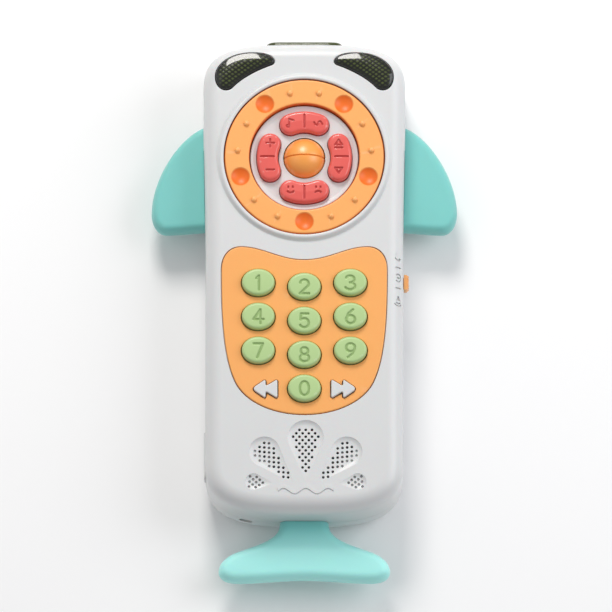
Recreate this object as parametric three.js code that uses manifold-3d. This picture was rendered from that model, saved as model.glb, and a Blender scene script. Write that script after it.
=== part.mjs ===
// Whale-shaped toy cell phone lying on its back: +X right, +Y towards the head, +Z out of the face.
// Lengths are millimetres. The design frame has its Y origin at the dial's centre; the outermost group
// then centres the whole object in X and Y and stands it on Z = 0. Each mesh is one separate piece.
import * as THREE from 'three';
import { mergeVertices } from 'three/addons/utils/BufferGeometryUtils.js';
import Module from 'manifold-3d';

const wasm = await Module();
wasm.setup();

// ---------------------------------------------------------------- driving dimensions
const bodyLength = 174.9;
const headWidth = 72.7;
const waistWidth = 71.1;
const bodyHeight = 30;
const dialFromHead = 43.4;
const headCrown = 19;
const headPower = 3.3;
const tailCrown = 21;
const tailPower = 3.1;
const frontEdge = 6;
const backEdge = 8;
const wall = 2.2;
const faceWall = 2.5;
const partingZ = 13;
const partingGroove = 0.3;

const slideGap = 0.35;
const seatGap = 0.3;
const fitGap = 0.25;

const dialRadius = 28.7;
const dialTop = 0.9;
const dialFlange = 1.2;
const rimWidth = 1.55;
const rimHeight = 1.4;
const dimpleCount = 5;
const dimpleDepth = 1.1;
const bumpRadius = 0.95;
const bumpSpread = 23.5;

const dishDrop = 1.6;
const dishFloor = 1.3;
const ballRadius = 7.6;
const ballSink = 2.3;
const axleRadius = 0.8;
const axleGap = 0.15;
const cradleFloor = 1.2;
const cradleGap = 0.4;
const rockerHalfWidth = 3.8;
const rockerHalfAngle = 22.3;
const rockerTop = 1.3;
const rockerLip = 0.5;

const keyWidth = 11.8;
const keyDepth = 9.8;
const keyTop = 2.6;
const keyFlange = 1.2;
const keyTravel = 1.2;
const keySpace = 4.75;
const rowPitch = 12.6;
const firstRow = -47;
const centreColumnDrop = 1.5;
const skipOffset = 13.9;
const skipLength = 8.5;
const skipHeight = 7;
const skipTop = 1.2;
const panelHalf = 29.75;
const panelEar = -33.5;
const panelDip = -38.35;
const panelBottom = -95.7;
const panelSink = 1.3;
const panelProud = 0.3;

const flipperReach = 55.1;
const flipperTop = 15.6;
const flipperBottom = -24.1;
const flipperCornerWidth = 5.4;
const flipperCornerHeight = 7.8;
const flipperThickness = 9;
const flipperZ = 11.5;
const tailReach = 22.3;
const tailHalf = 30.8;
const tailNeck = 8.75;
const tailThickness = 8;
const tailZ = 12;

const eyeLensHeight = 1.2;
const eyeArc = 37;
const topLensWidth = 28;
const topLensHeight = 11;
const topLensProud = 1.2;
const topLensZ = 20.5;

const switchY = -44;
const switchZ = 18;
const switchLength = 5.4;
const ridgePitch = 1;
const switchProud = 2.05;
const switchTravel = 2;
const switchStem = 2.2;
const switchDepth = 4;
const portFromTail = 23;
const portLength = 17.4;
const portHeight = 6.2;
const portProud = 0.5;
const coverThickness = 1.6;
const plugHalf = 4.9;

const boardTop = 15.8;
const boardThickness = 1.6;
const speakerRadius = 14;
const speakerFromTail = 21;
const petalFromTail = 10.8;
const petalX = 0.5;
const petalSink = 0.6;
const grillePitch = 2.45;
const grilleRow = 1.5;
const grilleHole = 0.5;
const strapX = -21;
const strapHalf = 2.35;
const screwShank = 1.25;
const screwHead = 2.8;
const bossRadius = 2.9;
const doorThickness = 2;
const packWidth = 34;
const packLength = 50;
const packHeight = 5.5;
const packY = -60;
const packGap = 0.6;

// ---------------------------------------------------------------- derived places
const rockerPitch = ballRadius + 5.7;
const dialInner = rockerPitch + rockerHalfWidth + 2.7;
const dimplePitch = (dialInner + dialRadius) / 2 - 0.05;
const dimpleRadius = (dialRadius - dialInner) / 2 - 1.05;
const retainerLug = dialRadius + 4.3;
const columnPitch = keyWidth + keySpace;
const headY = dialFromHead;
const tailEndY = dialFromHead - bodyLength;
const faceZ = bodyHeight;
const speakerY = tailEndY + speakerFromTail;
const petalY = tailEndY + petalFromTail;
const portY = tailEndY + portFromTail;
const portZ = boardTop + 1.6;
const innerFaceZ = faceZ - faceWall;
const headHalf = headWidth / 2;
const waistHalf = waistWidth / 2;
const switchFaceX = waistHalf - wall - switchStem - seatGap;
const dishZ = faceZ - dishDrop;
const dishUnderZ = dishZ - dishFloor;
const ballZ = Math.max(dishZ - ballSink, boardTop + cradleFloor + cradleGap + ballRadius + 0.1);
const dialFlangeZ = innerFaceZ - fitGap;
const retainerTopZ = dialFlangeZ - 1.8 - fitGap;
const retainerZ = retainerTopZ - 2.2;
const keyBottomZ = boardTop + 6;
const membraneTopZ = keyBottomZ - keyTravel - seatGap;
const panelTopZ = faceZ + panelProud;
const panelFloorZ = faceZ - panelSink;

// ---------------------------------------------------------------- solids
function solid(geometry) {
  const bare = geometry.clone();
  bare.deleteAttribute('normal');
  bare.deleteAttribute('uv');
  const merged = mergeVertices(bare, 1e-4);
  const mesh = new wasm.Mesh({
    numProp: 3,
    vertProperties: new Float32Array(merged.attributes.position.array),
    triVerts: new Uint32Array(merged.index.array),
  });
  mesh.merge();
  return new wasm.Manifold(mesh);
}

function geometryOf(body) {
  const mesh = body.getMesh();
  const geometry = new THREE.BufferGeometry();
  geometry.setAttribute('position', new THREE.BufferAttribute(new Float32Array(mesh.vertProperties), 3));
  geometry.setIndex(new THREE.BufferAttribute(new Uint32Array(mesh.triVerts), 1));
  geometry.computeVertexNormals();
  return geometry;
}

function box(x0, x1, y0, y1, z0, z1) {
  const geometry = new THREE.BoxGeometry(x1 - x0, y1 - y0, z1 - z0);
  return solid(geometry.translate((x0 + x1) / 2, (y0 + y1) / 2, (z0 + z1) / 2));
}

function cylinder(x, y, radius, z0, z1, sides = 12) {
  const geometry = new THREE.CylinderGeometry(radius, radius, z1 - z0, sides);
  return solid(geometry.rotateX(Math.PI / 2).translate(x, y, (z0 + z1) / 2));
}

function rodAlongX(x0, x1, y, z, radius, sides = 12) {
  const geometry = new THREE.CylinderGeometry(radius, radius, x1 - x0, sides);
  return solid(geometry.rotateZ(Math.PI / 2).translate((x0 + x1) / 2, y, z));
}

// A prism between two heights, with the same rounded edge at both ends where edge is above zero.
function prism(shape, z0, z1, edge = 0, steps = 2, curveSegments = 4) {
  const geometry = new THREE.ExtrudeGeometry(shape, {
    depth: z1 - z0 - 2 * edge,
    bevelEnabled: edge > 0,
    bevelThickness: edge,
    bevelSize: edge,
    bevelOffset: -edge,
    bevelSegments: steps,
    curveSegments,
  });
  return solid(geometry.translate(0, 0, z0 + edge));
}

// A ring or disc turned about Z from a closed profile of [radius, height] corners.
function turned(profile, sides = 36) {
  const points = profile.map(([r, z]) => new THREE.Vector2(r, z));
  if (profile[0][0] > 0) points.push(points[0].clone());
  return solid(new THREE.LatheGeometry(points, sides).rotateX(Math.PI / 2));
}

function above(body, z) {
  return body.subtract(box(-200, 200, -300, 300, z - 100, z));
}

function below(body, z) {
  return body.subtract(box(-200, 200, -300, 300, z, z + 100));
}

// ---------------------------------------------------------------- outlines
function halfWidthAt(y) {
  const blend = THREE.MathUtils.smoothstep(y, panelDip, headY - headCrown);
  return waistHalf + (headHalf - waistHalf) * blend;
}

function cornerPoints(half, crown, power, centreY, direction, count = 8) {
  return Array.from({ length: count + 1 }, (_, i) => {
    const angle = (Math.PI / 2) * (i / count);
    const x = half * Math.cos(angle) ** (2 / power);
    const y = centreY + direction * crown * Math.sin(angle) ** (2 / power);
    return [i === count ? 0 : x, y];
  });
}

// The case outline, drawn in by inset all round: two crowned ends and gently tapered sides.
function caseOutline(inset = 0) {
  const headCentre = headY - headCrown;
  const tailCentre = tailEndY + tailCrown;
  const tailCorner = cornerPoints(waistHalf - inset, tailCrown - inset, tailPower, tailCentre, -1);
  const headCorner = cornerPoints(headHalf - inset, headCrown - inset, headPower, headCentre, 1);
  const sideSteps = 6;
  const side = Array.from({ length: sideSteps - 1 }, (_, i) => {
    const y = THREE.MathUtils.lerp(panelDip, headCentre, (i + 1) / sideSteps);
    return [halfWidthAt(y) - inset, y];
  });
  const right = [...tailCorner.reverse(), [waistHalf - inset, panelDip], ...side, ...headCorner];
  const left = right.slice(1, -1).reverse().map(([x, y]) => [-x, y]);
  return new THREE.Shape([...right, ...left].map(([x, y]) => new THREE.Vector2(x, y)));
}

function kidney(direction, grow = 0) {
  const half = THREE.MathUtils.degToRad(rockerHalfAngle);
  const radius = rockerHalfWidth + grow;
  const [low, high] = [direction - half, direction + half];
  const shape = new THREE.Shape();
  const cap = (angle, start) => shape.absarc(
    rockerPitch * Math.cos(angle), rockerPitch * Math.sin(angle), radius, start, start + Math.PI, false);
  shape.absarc(0, 0, rockerPitch + radius, low, high, false);
  cap(high, high);
  shape.absarc(0, 0, rockerPitch - radius, high, low, true);
  cap(low, low + Math.PI);
  return shape;
}

function panelOutline(grow = 0) {
  const half = panelHalf + grow;
  const ear = panelEar + grow;
  const dip = panelDip + grow;
  const low = panelBottom - grow;
  const shoulderX = 22.6 + grow;
  const haunchX = 25.1 + grow;
  const haunchY = -82.7 - grow;
  const waistY = panelEar - 8.5;
  const shape = new THREE.Shape();
  shape.moveTo(0, low);
  shape.bezierCurveTo(12, low, 22 + grow, -90.5 - grow, haunchX, haunchY);
  shape.bezierCurveTo(half - 0.3, -73, half, -55, half, waistY);
  shape.bezierCurveTo(half, ear - 3.5, shoulderX + 4.4, ear, shoulderX, ear);
  shape.bezierCurveTo(15, ear, 9, dip, 0, dip);
  shape.bezierCurveTo(-9, dip, -15, ear, -shoulderX, ear);
  shape.bezierCurveTo(-shoulderX - 4.4, ear, -half, ear - 3.5, -half, waistY);
  shape.bezierCurveTo(-half, -55, -half + 0.3, -73, -haunchX, haunchY);
  shape.bezierCurveTo(-22 - grow, -90.5 - grow, -12, low, 0, low);
  return shape;
}

// Moves each corner of a counter-clockwise outline outward, keeping its edges parallel.
function outset(points, amount) {
  const count = points.length;
  const normal = (from, to) => new THREE.Vector2(to.y - from.y, from.x - to.x).normalize();
  return points.map((point, i) => {
    const before = normal(points[(i + count - 1) % count], point);
    const after = normal(point, points[(i + 1) % count]);
    const miter = before.clone().add(after).divideScalar(1 + before.dot(after));
    return point.clone().addScaledVector(miter, amount);
  });
}

// One skip symbol: two triangles joined tip to base, pointing in the given direction.
function skipOutline(centre, direction, grow = 0) {
  const length = skipLength / 2;
  const half = skipHeight / 2;
  const neck = 0.9;
  const tip = 0.5;
  const corners = [
    [-length, -half], [0, -neck], [0, -half], [length, -tip],
    [length, tip], [0, half], [0, neck], [-length, half],
  ];
  const points = corners.map(([along, up]) => new THREE.Vector2(direction * along, up));
  if (direction < 0) points.reverse();
  const spot = new THREE.Vector2(...centre);
  return new THREE.Shape(outset(points, grow).map((point) => point.add(spot)));
}

function teardrop([tipX, tipY], angle, length, radius) {
  const centre = length - radius;
  const tangent = Math.acos(radius / centre);
  const points = [new THREE.Vector2(0, 0)];
  const steps = 6;
  for (let i = 0; i <= steps; i += 1) {
    const turn = Math.PI + tangent - (2 * tangent - 2 * Math.PI) * (i / steps) - 2 * Math.PI;
    points.push(new THREE.Vector2(radius * Math.sin(turn), centre + radius * Math.cos(turn)));
  }
  const spot = new THREE.Vector2(tipX, tipY);
  return new THREE.Shape(points.map((p) => p.rotateAround(new THREE.Vector2(), angle).add(spot)));
}

// An eye socket lies between an arc about the dial and the rounded corner of the head.
function eyeOutline(side, grow = 0) {
  const cornerX = headHalf - 4.35 + grow;
  const cornerY = headY - 4 + grow;
  const low = [headHalf - 10.25, headY - 17.35 - grow];
  const high = [11.7 - grow / 2, eyeArc - 2.2 - grow];
  const shape = new THREE.Shape();
  const curve = (...points) => shape.bezierCurveTo(...points.flatMap(([x, y]) => [side * x, y]));
  shape.moveTo(side * low[0], low[1]);
  curve([low[0] + 2.7, low[1] - 1.85], [cornerX - 0.1, low[1]], [cornerX, low[1] + 4.25 + grow]);
  curve([cornerX, cornerY - 5.6], [cornerX - 3.4, cornerY - 2.4], [cornerX - 7.7, cornerY - 1]);
  curve([cornerX - 10.8, cornerY], [high[0] + 5.9, cornerY], [high[0] + 2.9, cornerY - 0.75]);
  curve([high[0] - 0.1, high[1] + 3.2 + grow], [high[0] - 2.1, high[1] + 1.2], high);
  curve([high[0] + 4.6, high[1] - 1.6], [low[0] - 3.6, low[1] + 4.05], low);
  return shape;
}

function flipperOutline() {
  const root = waistHalf - 2 * wall;
  const low = flipperBottom;
  const shape = new THREE.Shape();
  const [cornerX, cornerY] = [flipperReach - flipperCornerWidth, low + flipperCornerHeight];
  shape.moveTo(root, low + 1);
  shape.bezierCurveTo(root + 8, low + 1.2, cornerX - 6, low, cornerX, low);
  shape.bezierCurveTo(cornerX + 3.2, low, flipperReach, cornerY - 4.3, flipperReach, cornerY);
  const [endX, endY] = [halfWidthAt(flipperTop) - 1.1, flipperTop + 0.5];
  shape.bezierCurveTo(flipperReach, -3, flipperReach - 10.6, flipperTop - 2.1, endX, endY);
  shape.lineTo(root, flipperTop + 0.5);
  return shape;
}

function tailOutline() {
  const top = tailEndY + 3 * wall;
  const low = tailEndY - tailReach;
  const shape = new THREE.Shape();
  const half = (s) => {
    const points = [
      [[tailNeck + 0.2, low + 15.8], [tailNeck + 8.8, low + 14], [tailHalf - 6.5, low + 11.4]],
      [[tailHalf - 2.6, low + 9.8], [tailHalf, low + 7.2], [tailHalf, low + 4.2]],
      [[tailHalf, low + 1.4], [tailHalf - 2.8, low], [tailHalf - 6.8, low]],
      [[tailHalf - 14, low], [8, low + 1.1], [0, low + 1.1]],
    ];
    return points.map((curve) => curve.map(([x, y]) => [s * x, y]));
  };
  shape.moveTo(-tailNeck, top);
  shape.lineTo(-tailNeck, low + 21.8);
  half(-1).forEach((curve) => shape.bezierCurveTo(...curve.flat()));
  const back = half(1).reverse();
  const ends = [
    [tailHalf - 6.8, low], [tailHalf, low + 4.2], [tailHalf - 6.5, low + 11.4], [tailNeck, low + 21.8],
  ];
  back.forEach((curve, i) => shape.bezierCurveTo(...curve[1], ...curve[0], ...ends[i]));
  shape.lineTo(tailNeck, top);
  return shape;
}

function roundedRect(x0, x1, y0, y1, radius) {
  const shape = new THREE.Shape();
  shape.absarc(x1 - radius, y1 - radius, radius, 0, Math.PI / 2, false);
  shape.absarc(x0 + radius, y1 - radius, radius, Math.PI / 2, Math.PI, false);
  shape.absarc(x0 + radius, y0 + radius, radius, Math.PI, 1.5 * Math.PI, false);
  shape.absarc(x1 - radius, y0 + radius, radius, 1.5 * Math.PI, 2 * Math.PI, false);
  return shape;
}

// The four sides of the battery pack's space, grown by an amount.
function packSides(grow) {
  const [half, reach] = [packWidth / 2 + grow, packLength / 2 + grow];
  return [-half, half, packY - reach, packY + reach];
}

// ---------------------------------------------------------------- shared places
const keys = [
  ...[1, 2, 3, 4, 5, 6, 7, 8, 9].map((number) => {
    const column = (number - 1) % 3 - 1;
    const row = Math.floor((number - 1) / 3);
    const drop = column === 0 ? centreColumnDrop : 0;
    return { number, x: column * columnPitch, y: firstRow - row * rowPitch - drop };
  }),
  { number: 0, x: 0, y: firstRow - 3 * rowPitch - centreColumnDrop },
];
const skipY = firstRow - 3 * rowPitch - centreColumnDrop - 0.1;
const rockers = [
  { name: 'rocker_right', direction: 0 },
  { name: 'rocker_head', direction: Math.PI / 2 },
  { name: 'rocker_left', direction: Math.PI },
  { name: 'rocker_tail', direction: 1.5 * Math.PI },
];
const bosses = [-1, 1].flatMap((side) => [
  [side * 18.9, 28],
  [side * (waistHalf - 7.6), panelEar - 1],
  [side * (waistHalf - 9.6), tailEndY + 12.5],
]);
const lugs = [90, 210, 330].map((degrees) => {
  const angle = THREE.MathUtils.degToRad(degrees);
  return [retainerLug * Math.cos(angle), retainerLug * Math.sin(angle)];
});
const petals = [
  { tip: [petalX, petalY], angle: 0, length: 22.9, radius: 6.5 },
  ...[-1, 1].map((side) => (
    { tip: [petalX + side * 4.5, petalY - 0.3], angle: -side * 0.73, length: 21, radius: 5.6 })),
  ...[-1, 1].map((side) => (
    { tip: [petalX + side * 11.7, petalY - 0.6], angle: -side * 1.47, length: 10.1, radius: 3.05 })),
];
const bossFootZ = partingZ - 5;
const doorHead = packY + packLength / 2 + 1.5;
const doorTail = packY - packLength / 2 - 8.5;
const doorHalf = packWidth / 2 + 3;
const doorScrewY = doorTail + 4.5;

// A turned profile squeezed along Y into the keys' oval.
function ovalKey(grow, profile) {
  const halfX = keyWidth / 2 + grow;
  const points = profile.map(([r, z]) => new THREE.Vector2(r, z));
  const geometry = new THREE.LatheGeometry(points, 16).rotateX(Math.PI / 2);
  return solid(geometry.scale(1, (keyDepth / 2 + grow) / halfX, 1));
}

// ---------------------------------------------------------------- cases
function makeFrontShell() {
  let shell = above(prism(caseOutline(), partingZ - 20, faceZ, frontEdge, 3), partingZ);
  shell = shell.subtract(prism(caseOutline(wall), partingZ - 20, innerFaceZ, frontEdge - wall, 2));
  shell = shell.add(turned([
    [dialRadius + fitGap, innerFaceZ], [dialRadius + rimWidth + 1, innerFaceZ],
    [dialRadius + rimWidth + 1, faceZ], [dialRadius + rimWidth * 0.8, faceZ + 0.7 * rimHeight],
    [dialRadius + rimWidth * 0.4, faceZ + rimHeight],
    [dialRadius + fitGap, faceZ + 0.8 * rimHeight],
  ], 48));
  bosses.forEach(([x, y]) => {
    shell = shell.add(cylinder(x, y, bossRadius, bossFootZ, innerFaceZ + 0.4));
  });
  lugs.forEach(([x, y]) => {
    shell = shell.add(cylinder(x, y, 2.2, retainerTopZ, innerFaceZ + 0.4, 10));
  });
  const cuts = [
    cylinder(0, 0, dialRadius + fitGap, partingZ, faceZ + 5, 48),
    prism(panelOutline(fitGap), panelFloorZ, faceZ + 5),
    ...keys.map(({ x, y }) => ovalKey(slideGap, [
      [0, partingZ], [keyWidth / 2 + slideGap, partingZ],
      [keyWidth / 2 + slideGap, faceZ + 5], [0, faceZ + 5],
    ]).translate([x, y, 0])),
    ...[-1, 1].map((side) => (
      prism(skipOutline([side * skipOffset, skipY], side, slideGap), partingZ, faceZ))),
    ...[-1, 1].map((side) => prism(eyeOutline(side, fitGap), innerFaceZ - 6, faceZ + 5)),
    box(-topLensWidth / 2 - fitGap, topLensWidth / 2 + fitGap, headY - 3 * wall, headY + 5,
      topLensZ - topLensHeight / 2 - fitGap, topLensZ + topLensHeight / 2 + fitGap),
    ...bosses.map(([x, y]) => cylinder(x, y, screwShank + seatGap, bossFootZ - 1, bossFootZ + 9, 8)),
    ...lugs.map(([x, y]) => cylinder(x, y, 0.9 + fitGap, retainerTopZ - 1, retainerTopZ + 2.2, 8)),
    ...petals.map(({ tip, angle, length, radius }) => (
      prism(teardrop(tip, angle, length, radius), faceZ - petalSink, faceZ + 5))),
    ...grilleHoles().map(([x, y]) => cylinder(x, y, grilleHole, innerFaceZ - 1, faceZ, 6)),
    switchSlot(),
    ...portCuts(),
    ...softSlots(),
    partingCut(),
  ];
  cuts.forEach((cut) => {
    shell = shell.subtract(cut);
  });
  return shell;
}

function grilleHoles() {
  const { tip, length, radius } = petals[0];
  const centreY = tip[1] + length - radius;
  const margin = 2.1;
  const holes = [];
  for (let row = -6; row <= 2; row += 1) {
    for (let column = -2; column <= 2; column += 1) {
      const x = (column + (row % 2 === 0 ? 0 : 0.5)) * grillePitch;
      const y = row * grilleRow;
      const reach = y > 0 ? radius : radius * (1 + y / (length - radius));
      if (Math.hypot(x, Math.max(y, 0)) < reach - margin) holes.push([tip[0] + x, centreY + y]);
    }
  }
  return holes;
}

function partingCut() {
  const band = prism(caseOutline(-1), partingZ - partingGroove / 2, partingZ + partingGroove / 2);
  return band.subtract(prism(caseOutline(partingGroove), partingZ - 1, partingZ + 1));
}

function switchSlot() {
  const half = switchLength / 2 - 1 + switchTravel + slideGap;
  return box(waistHalf - 2 * wall, waistHalf + 5, switchY - half, switchY + half,
    switchZ - 1.6 - slideGap, switchZ + 1.6 + slideGap);
}

function portCuts() {
  const depth = coverThickness - portProud + fitGap;
  const pocket = box(-waistHalf - 3, -waistHalf + depth, portY - portLength / 2 - fitGap,
    portY + portLength / 2 + fitGap, portZ - portHeight / 2 - fitGap, portZ + portHeight / 2 + fitGap);
  const mouth = box(
    -waistHalf - 1, -waistHalf + 2 * wall, portY - plugHalf, portY + plugHalf, portZ - 1.9, portZ + 1.9);
  return [pocket, mouth];
}

// Slots in both shells for the tabs of the flippers and the tail.
function softSlots() {
  const flipperTab = flipperTabSize();
  const slots = [-1, 1].map((side) => {
    const [x0, x1] = [side * (waistHalf - 2 * wall), side * (headHalf + 3)].sort((a, b) => a - b);
    return box(x0, x1, flipperTab.low - seatGap, flipperTab.high + seatGap,
      flipperTab.bottom - seatGap, flipperTab.top + seatGap);
  });
  const tab = tailTabSize();
  slots.push(box(-tab.half - seatGap, tab.half + seatGap, tailEndY - 3, tailEndY + 2 * wall,
    tab.bottom - seatGap, tab.top + seatGap));
  return slots;
}

function flipperTabSize() {
  const middle = (flipperTop + flipperBottom) / 2;
  return { low: middle - 11, high: middle + 11, bottom: flipperZ - 2.5, top: flipperZ + 2.5 };
}

function tailTabSize() {
  return { half: tailNeck - 1.5, bottom: tailZ - 2.5, top: tailZ + 2.5 };
}

function makeBackShell() {
  let shell = below(prism(caseOutline(), 0, partingZ + 20, backEdge, 3), partingZ);
  shell = shell.subtract(prism(caseOutline(wall), wall, partingZ + 20, backEdge - wall, 2));
  const tongue = prism(caseOutline(wall + fitGap), partingZ - 2, partingZ + 1.2)
    .subtract(prism(caseOutline(wall + fitGap + 1), partingZ - 3, partingZ + 2));
  const rib = prism(caseOutline(wall - 0.1), partingZ - 2.6, partingZ - 1.2)
    .subtract(prism(caseOutline(wall + fitGap + 1), partingZ - 3, partingZ));
  shell = shell.add(tongue).add(rib);
  const padZ = doorThickness + 2.4;
  const pad = roundedRect(-doorHalf - 2, doorHalf + 2, doorTail - 2, doorHead + 2, 4);
  shell = shell.add(prism(pad, wall / 2, padZ));
  shell = shell.add(prism(roundedRect(...packSides(packGap + 1.5), 2), wall / 2, padZ + packHeight));
  shell = shell.add(cylinder(0, doorScrewY, 3.6, wall / 2, padZ + 4));
  bosses.forEach(([x, y]) => {
    shell = shell.add(cylinder(x, y, bossRadius + 1.4, wall / 2, bossFootZ));
  });
  const cuts = [
    prism(roundedRect(-doorHalf, doorHalf, doorTail, doorHead, 3), -1, doorThickness + 0.4),
    box(...packSides(packGap), 0, bodyHeight),
    cylinder(0, doorScrewY, 1.1 + seatGap, 0, padZ + 2.5, 12),
    ...bosses.map(([x, y]) => cylinder(x, y, screwHead + seatGap, -1, bossFootZ - 5, 12)),
    ...bosses.map(([x, y]) => cylinder(x, y, screwShank + seatGap, 0, bossFootZ + 1, 8)),
    box(strapX - strapHalf, strapX + strapHalf, tailEndY - 3, tailEndY + 3 * wall,
      partingZ - 4, partingZ - 1.4),
    ...softSlots(),
    partingCut(),
  ];
  cuts.forEach((cut) => {
    shell = shell.subtract(cut);
  });
  return shell;
}

function makeBatteryDoor() {
  const gap = fitGap;
  const shape = roundedRect(-doorHalf + gap, doorHalf - gap, doorTail + gap, doorHead - gap, 3 - gap);
  const plate = prism(shape, 0.3, 0.3 + doorThickness);
  return plate
    .subtract(cylinder(0, doorScrewY, screwHead + seatGap, 0, 1.55, 16))
    .subtract(cylinder(0, doorScrewY, 1.1 + seatGap, 0, 5, 12));
}

function makeScrew(headRadius, headHeight, shankRadius, length) {
  return turned([
    [0, 0], [headRadius, 0], [headRadius, headHeight],
    [shankRadius, headHeight], [shankRadius, length], [0, length],
  ], 10);
}

// ---------------------------------------------------------------- dial, rockers and ball
function makeDialRing() {
  const top = faceZ + dialTop;
  let ring = turned([
    [dialInner, dialFlangeZ - 1.8], [dialRadius + dialFlange, dialFlangeZ - 1.8],
    [dialRadius + dialFlange, dialFlangeZ], [dialRadius, dialFlangeZ], [dialRadius, top - 0.5],
    [dialRadius - 0.5, top], [dialInner + 0.5, top], [dialInner, top - 0.5],
  ], 40);
  const ballOf = (dimpleRadius ** 2 + dimpleDepth ** 2) / (2 * dimpleDepth);
  const spread = THREE.MathUtils.degToRad(bumpSpread);
  for (let i = 0; i < dimpleCount; i += 1) {
    const angle = -Math.PI / 2 + (i * 2 * Math.PI) / dimpleCount;
    const at = (turn) => [dimplePitch * Math.cos(angle + turn), dimplePitch * Math.sin(angle + turn)];
    const cutter = new THREE.SphereGeometry(ballOf, 16, 20);
    ring = ring.subtract(solid(cutter.translate(...at(0), top + ballOf - dimpleDepth)));
    [-spread, spread].forEach((turn) => {
      const bump = new THREE.SphereGeometry(bumpRadius, 6, 4);
      ring = ring.add(solid(bump.translate(...at(turn), top)));
    });
  }
  return ring;
}

function makeDialRetainer() {
  const inner = dialInner - 1.5;
  const outer = dialRadius + dialFlange + 0.6;
  let plate = turned([
    [inner, retainerZ], [outer, retainerZ], [outer, retainerTopZ], [inner, retainerTopZ],
  ], 36);
  lugs.forEach(([x, y]) => {
    plate = plate.add(cylinder(x, y, 2.6, retainerZ, retainerTopZ, 10));
    plate = plate.add(cylinder(x * 0.92, y * 0.92, 2.6, retainerZ, retainerTopZ, 8));
  });
  lugs.forEach(([x, y]) => {
    plate = plate.subtract(cylinder(x, y, 0.9 + fitGap, retainerZ - 1, retainerTopZ + 1, 8));
  });
  return plate;
}

function makeButtonDish() {
  const outer = dialInner - 0.4;
  let dish = turned([
    [0, dishUnderZ], [outer - 1.2, dishUnderZ], [outer - 1.2, retainerTopZ], [outer, retainerTopZ],
    [outer, dishZ + 0.5], [outer - 0.9, dishZ + 0.5], [outer - 1.4, dishZ], [0, dishZ],
  ], 32);
  dish = dish.subtract(cylinder(0, 0, ballRadius + 0.35, dishUnderZ - 1, dishZ + 1, 24));
  dish = dish.subtract(rodAlongX(-outer + 2, outer - 2, 0, ballZ, axleRadius + axleGap));
  rockers.forEach(({ direction }) => {
    dish = dish.subtract(prism(kidney(direction, fitGap), dishUnderZ - 1, dishZ + 1));
  });
  return dish;
}

function makeRocker(direction) {
  const cap = prism(kidney(direction), dishUnderZ - 2, faceZ + rockerTop, 0.9, 1, 4);
  const lip = prism(kidney(direction, rockerLip), dishUnderZ - 2.3, dishUnderZ - 0.9, 0, 1, 4);
  return below(above(cap, dishUnderZ - 1.05).add(lip), faceZ + rockerTop + 1);
}

function makeBallHalf(side) {
  const sphere = new THREE.SphereGeometry(ballRadius, 24, 16).rotateZ(Math.PI / 2);
  const ball = solid(sphere.translate(0, 0, ballZ));
  const other = side > 0 ? box(-20, 20, -20, 0.05, 0, 60) : box(-20, 20, -0.05, 20, 0, 60);
  return ball.subtract(other).subtract(rodAlongX(-20, 20, 0, ballZ, axleRadius + fitGap));
}

function makeBallCradle() {
  const inner = ballRadius + 0.3;
  const outer = inner + 0.85;
  const floorTop = ballZ - ballRadius - cradleGap;
  const flangeTop = dishUnderZ - 4.7;
  const cup = turned([
    [0, floorTop - cradleFloor], [outer, floorTop - cradleFloor], [outer, flangeTop - 1.4],
    [dialInner - 2.7, flangeTop - 1.4],
    [dialInner - 2.7, flangeTop], [outer, flangeTop], [outer, dishUnderZ], [inner, dishUnderZ],
    [inner, floorTop], [0, floorTop],
  ], 28);
  return cup
    .subtract(rodAlongX(-outer - 1, outer + 1, 0, ballZ, axleRadius + fitGap))
    .subtract(box(-outer - 1, outer + 1, -axleRadius - fitGap, axleRadius + fitGap, ballZ, ballZ + 5));
}

function makeRockerMembrane() {
  const flangeTop = dishUnderZ - 4.7;
  const inner = ballRadius + 2.2;
  let sheet = turned([
    [inner, flangeTop], [dialInner - 2.8, flangeTop],
    [dialInner - 2.8, flangeTop + 0.8], [inner, flangeTop + 0.8],
  ], 28);
  rockers.forEach(({ direction }) => [-1, 1].forEach((end) => {
    const angle = direction + end * THREE.MathUtils.degToRad(rockerHalfAngle * 0.8);
    const [x, y] = [rockerPitch * Math.cos(angle), rockerPitch * Math.sin(angle)];
    sheet = sheet.add(cylinder(x, y, 1.9, flangeTop + 0.4, flangeTop + 1.4, 8));
  }));
  return sheet;
}

// ---------------------------------------------------------------- keypad
function makeKeypadPanel() {
  let panel = below(prism(panelOutline(), panelFloorZ - 2, panelTopZ, 0.35, 1), panelTopZ + 1);
  panel = above(panel, panelFloorZ);
  keys.forEach(({ x, y }) => {
    const top = keyWidth / 2 + slideGap;
    panel = panel.subtract(
      ovalKey(slideGap, [[0, 20], [top, 20], [top, 40], [0, 40]]).translate([x, y, 0]));
  });
  [-1, 1].forEach((side) => {
    panel = panel.subtract(prism(skipOutline([side * skipOffset, skipY], side, slideGap), 20, 40));
  });
  return panel;
}

function makeKey() {
  const half = keyWidth / 2;
  const flangeTop = innerFaceZ - fitGap;
  const top = faceZ + keyTop;
  return ovalKey(0, [
    [0, keyBottomZ], [half - 2.8, keyBottomZ], [half - 2.8, flangeTop - 1.4],
    [half + keyFlange, flangeTop - 1.4], [half + keyFlange, flangeTop],
    [half, flangeTop], [half, top - 0.9], [half * 0.82, top - 0.2], [0, top],
  ]);
}

function makeSkipButton(side) {
  const centre = [side * skipOffset, skipY];
  const flangeTop = innerFaceZ - fitGap;
  const cap = prism(skipOutline(centre, side), flangeTop - 1, faceZ + skipTop);
  const x0 = centre[0] - skipLength / 2 - 1;
  const x1 = centre[0] + skipLength / 2 + 1;
  const flangeHalf = skipHeight / 2 + 1;
  const flange = box(x0, x1, skipY - flangeHalf, skipY + flangeHalf, flangeTop - 1.4, flangeTop);
  return cap.add(flange).add(cylinder(centre[0], skipY, 2.4, keyBottomZ, flangeTop - 1, 12));
}

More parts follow.
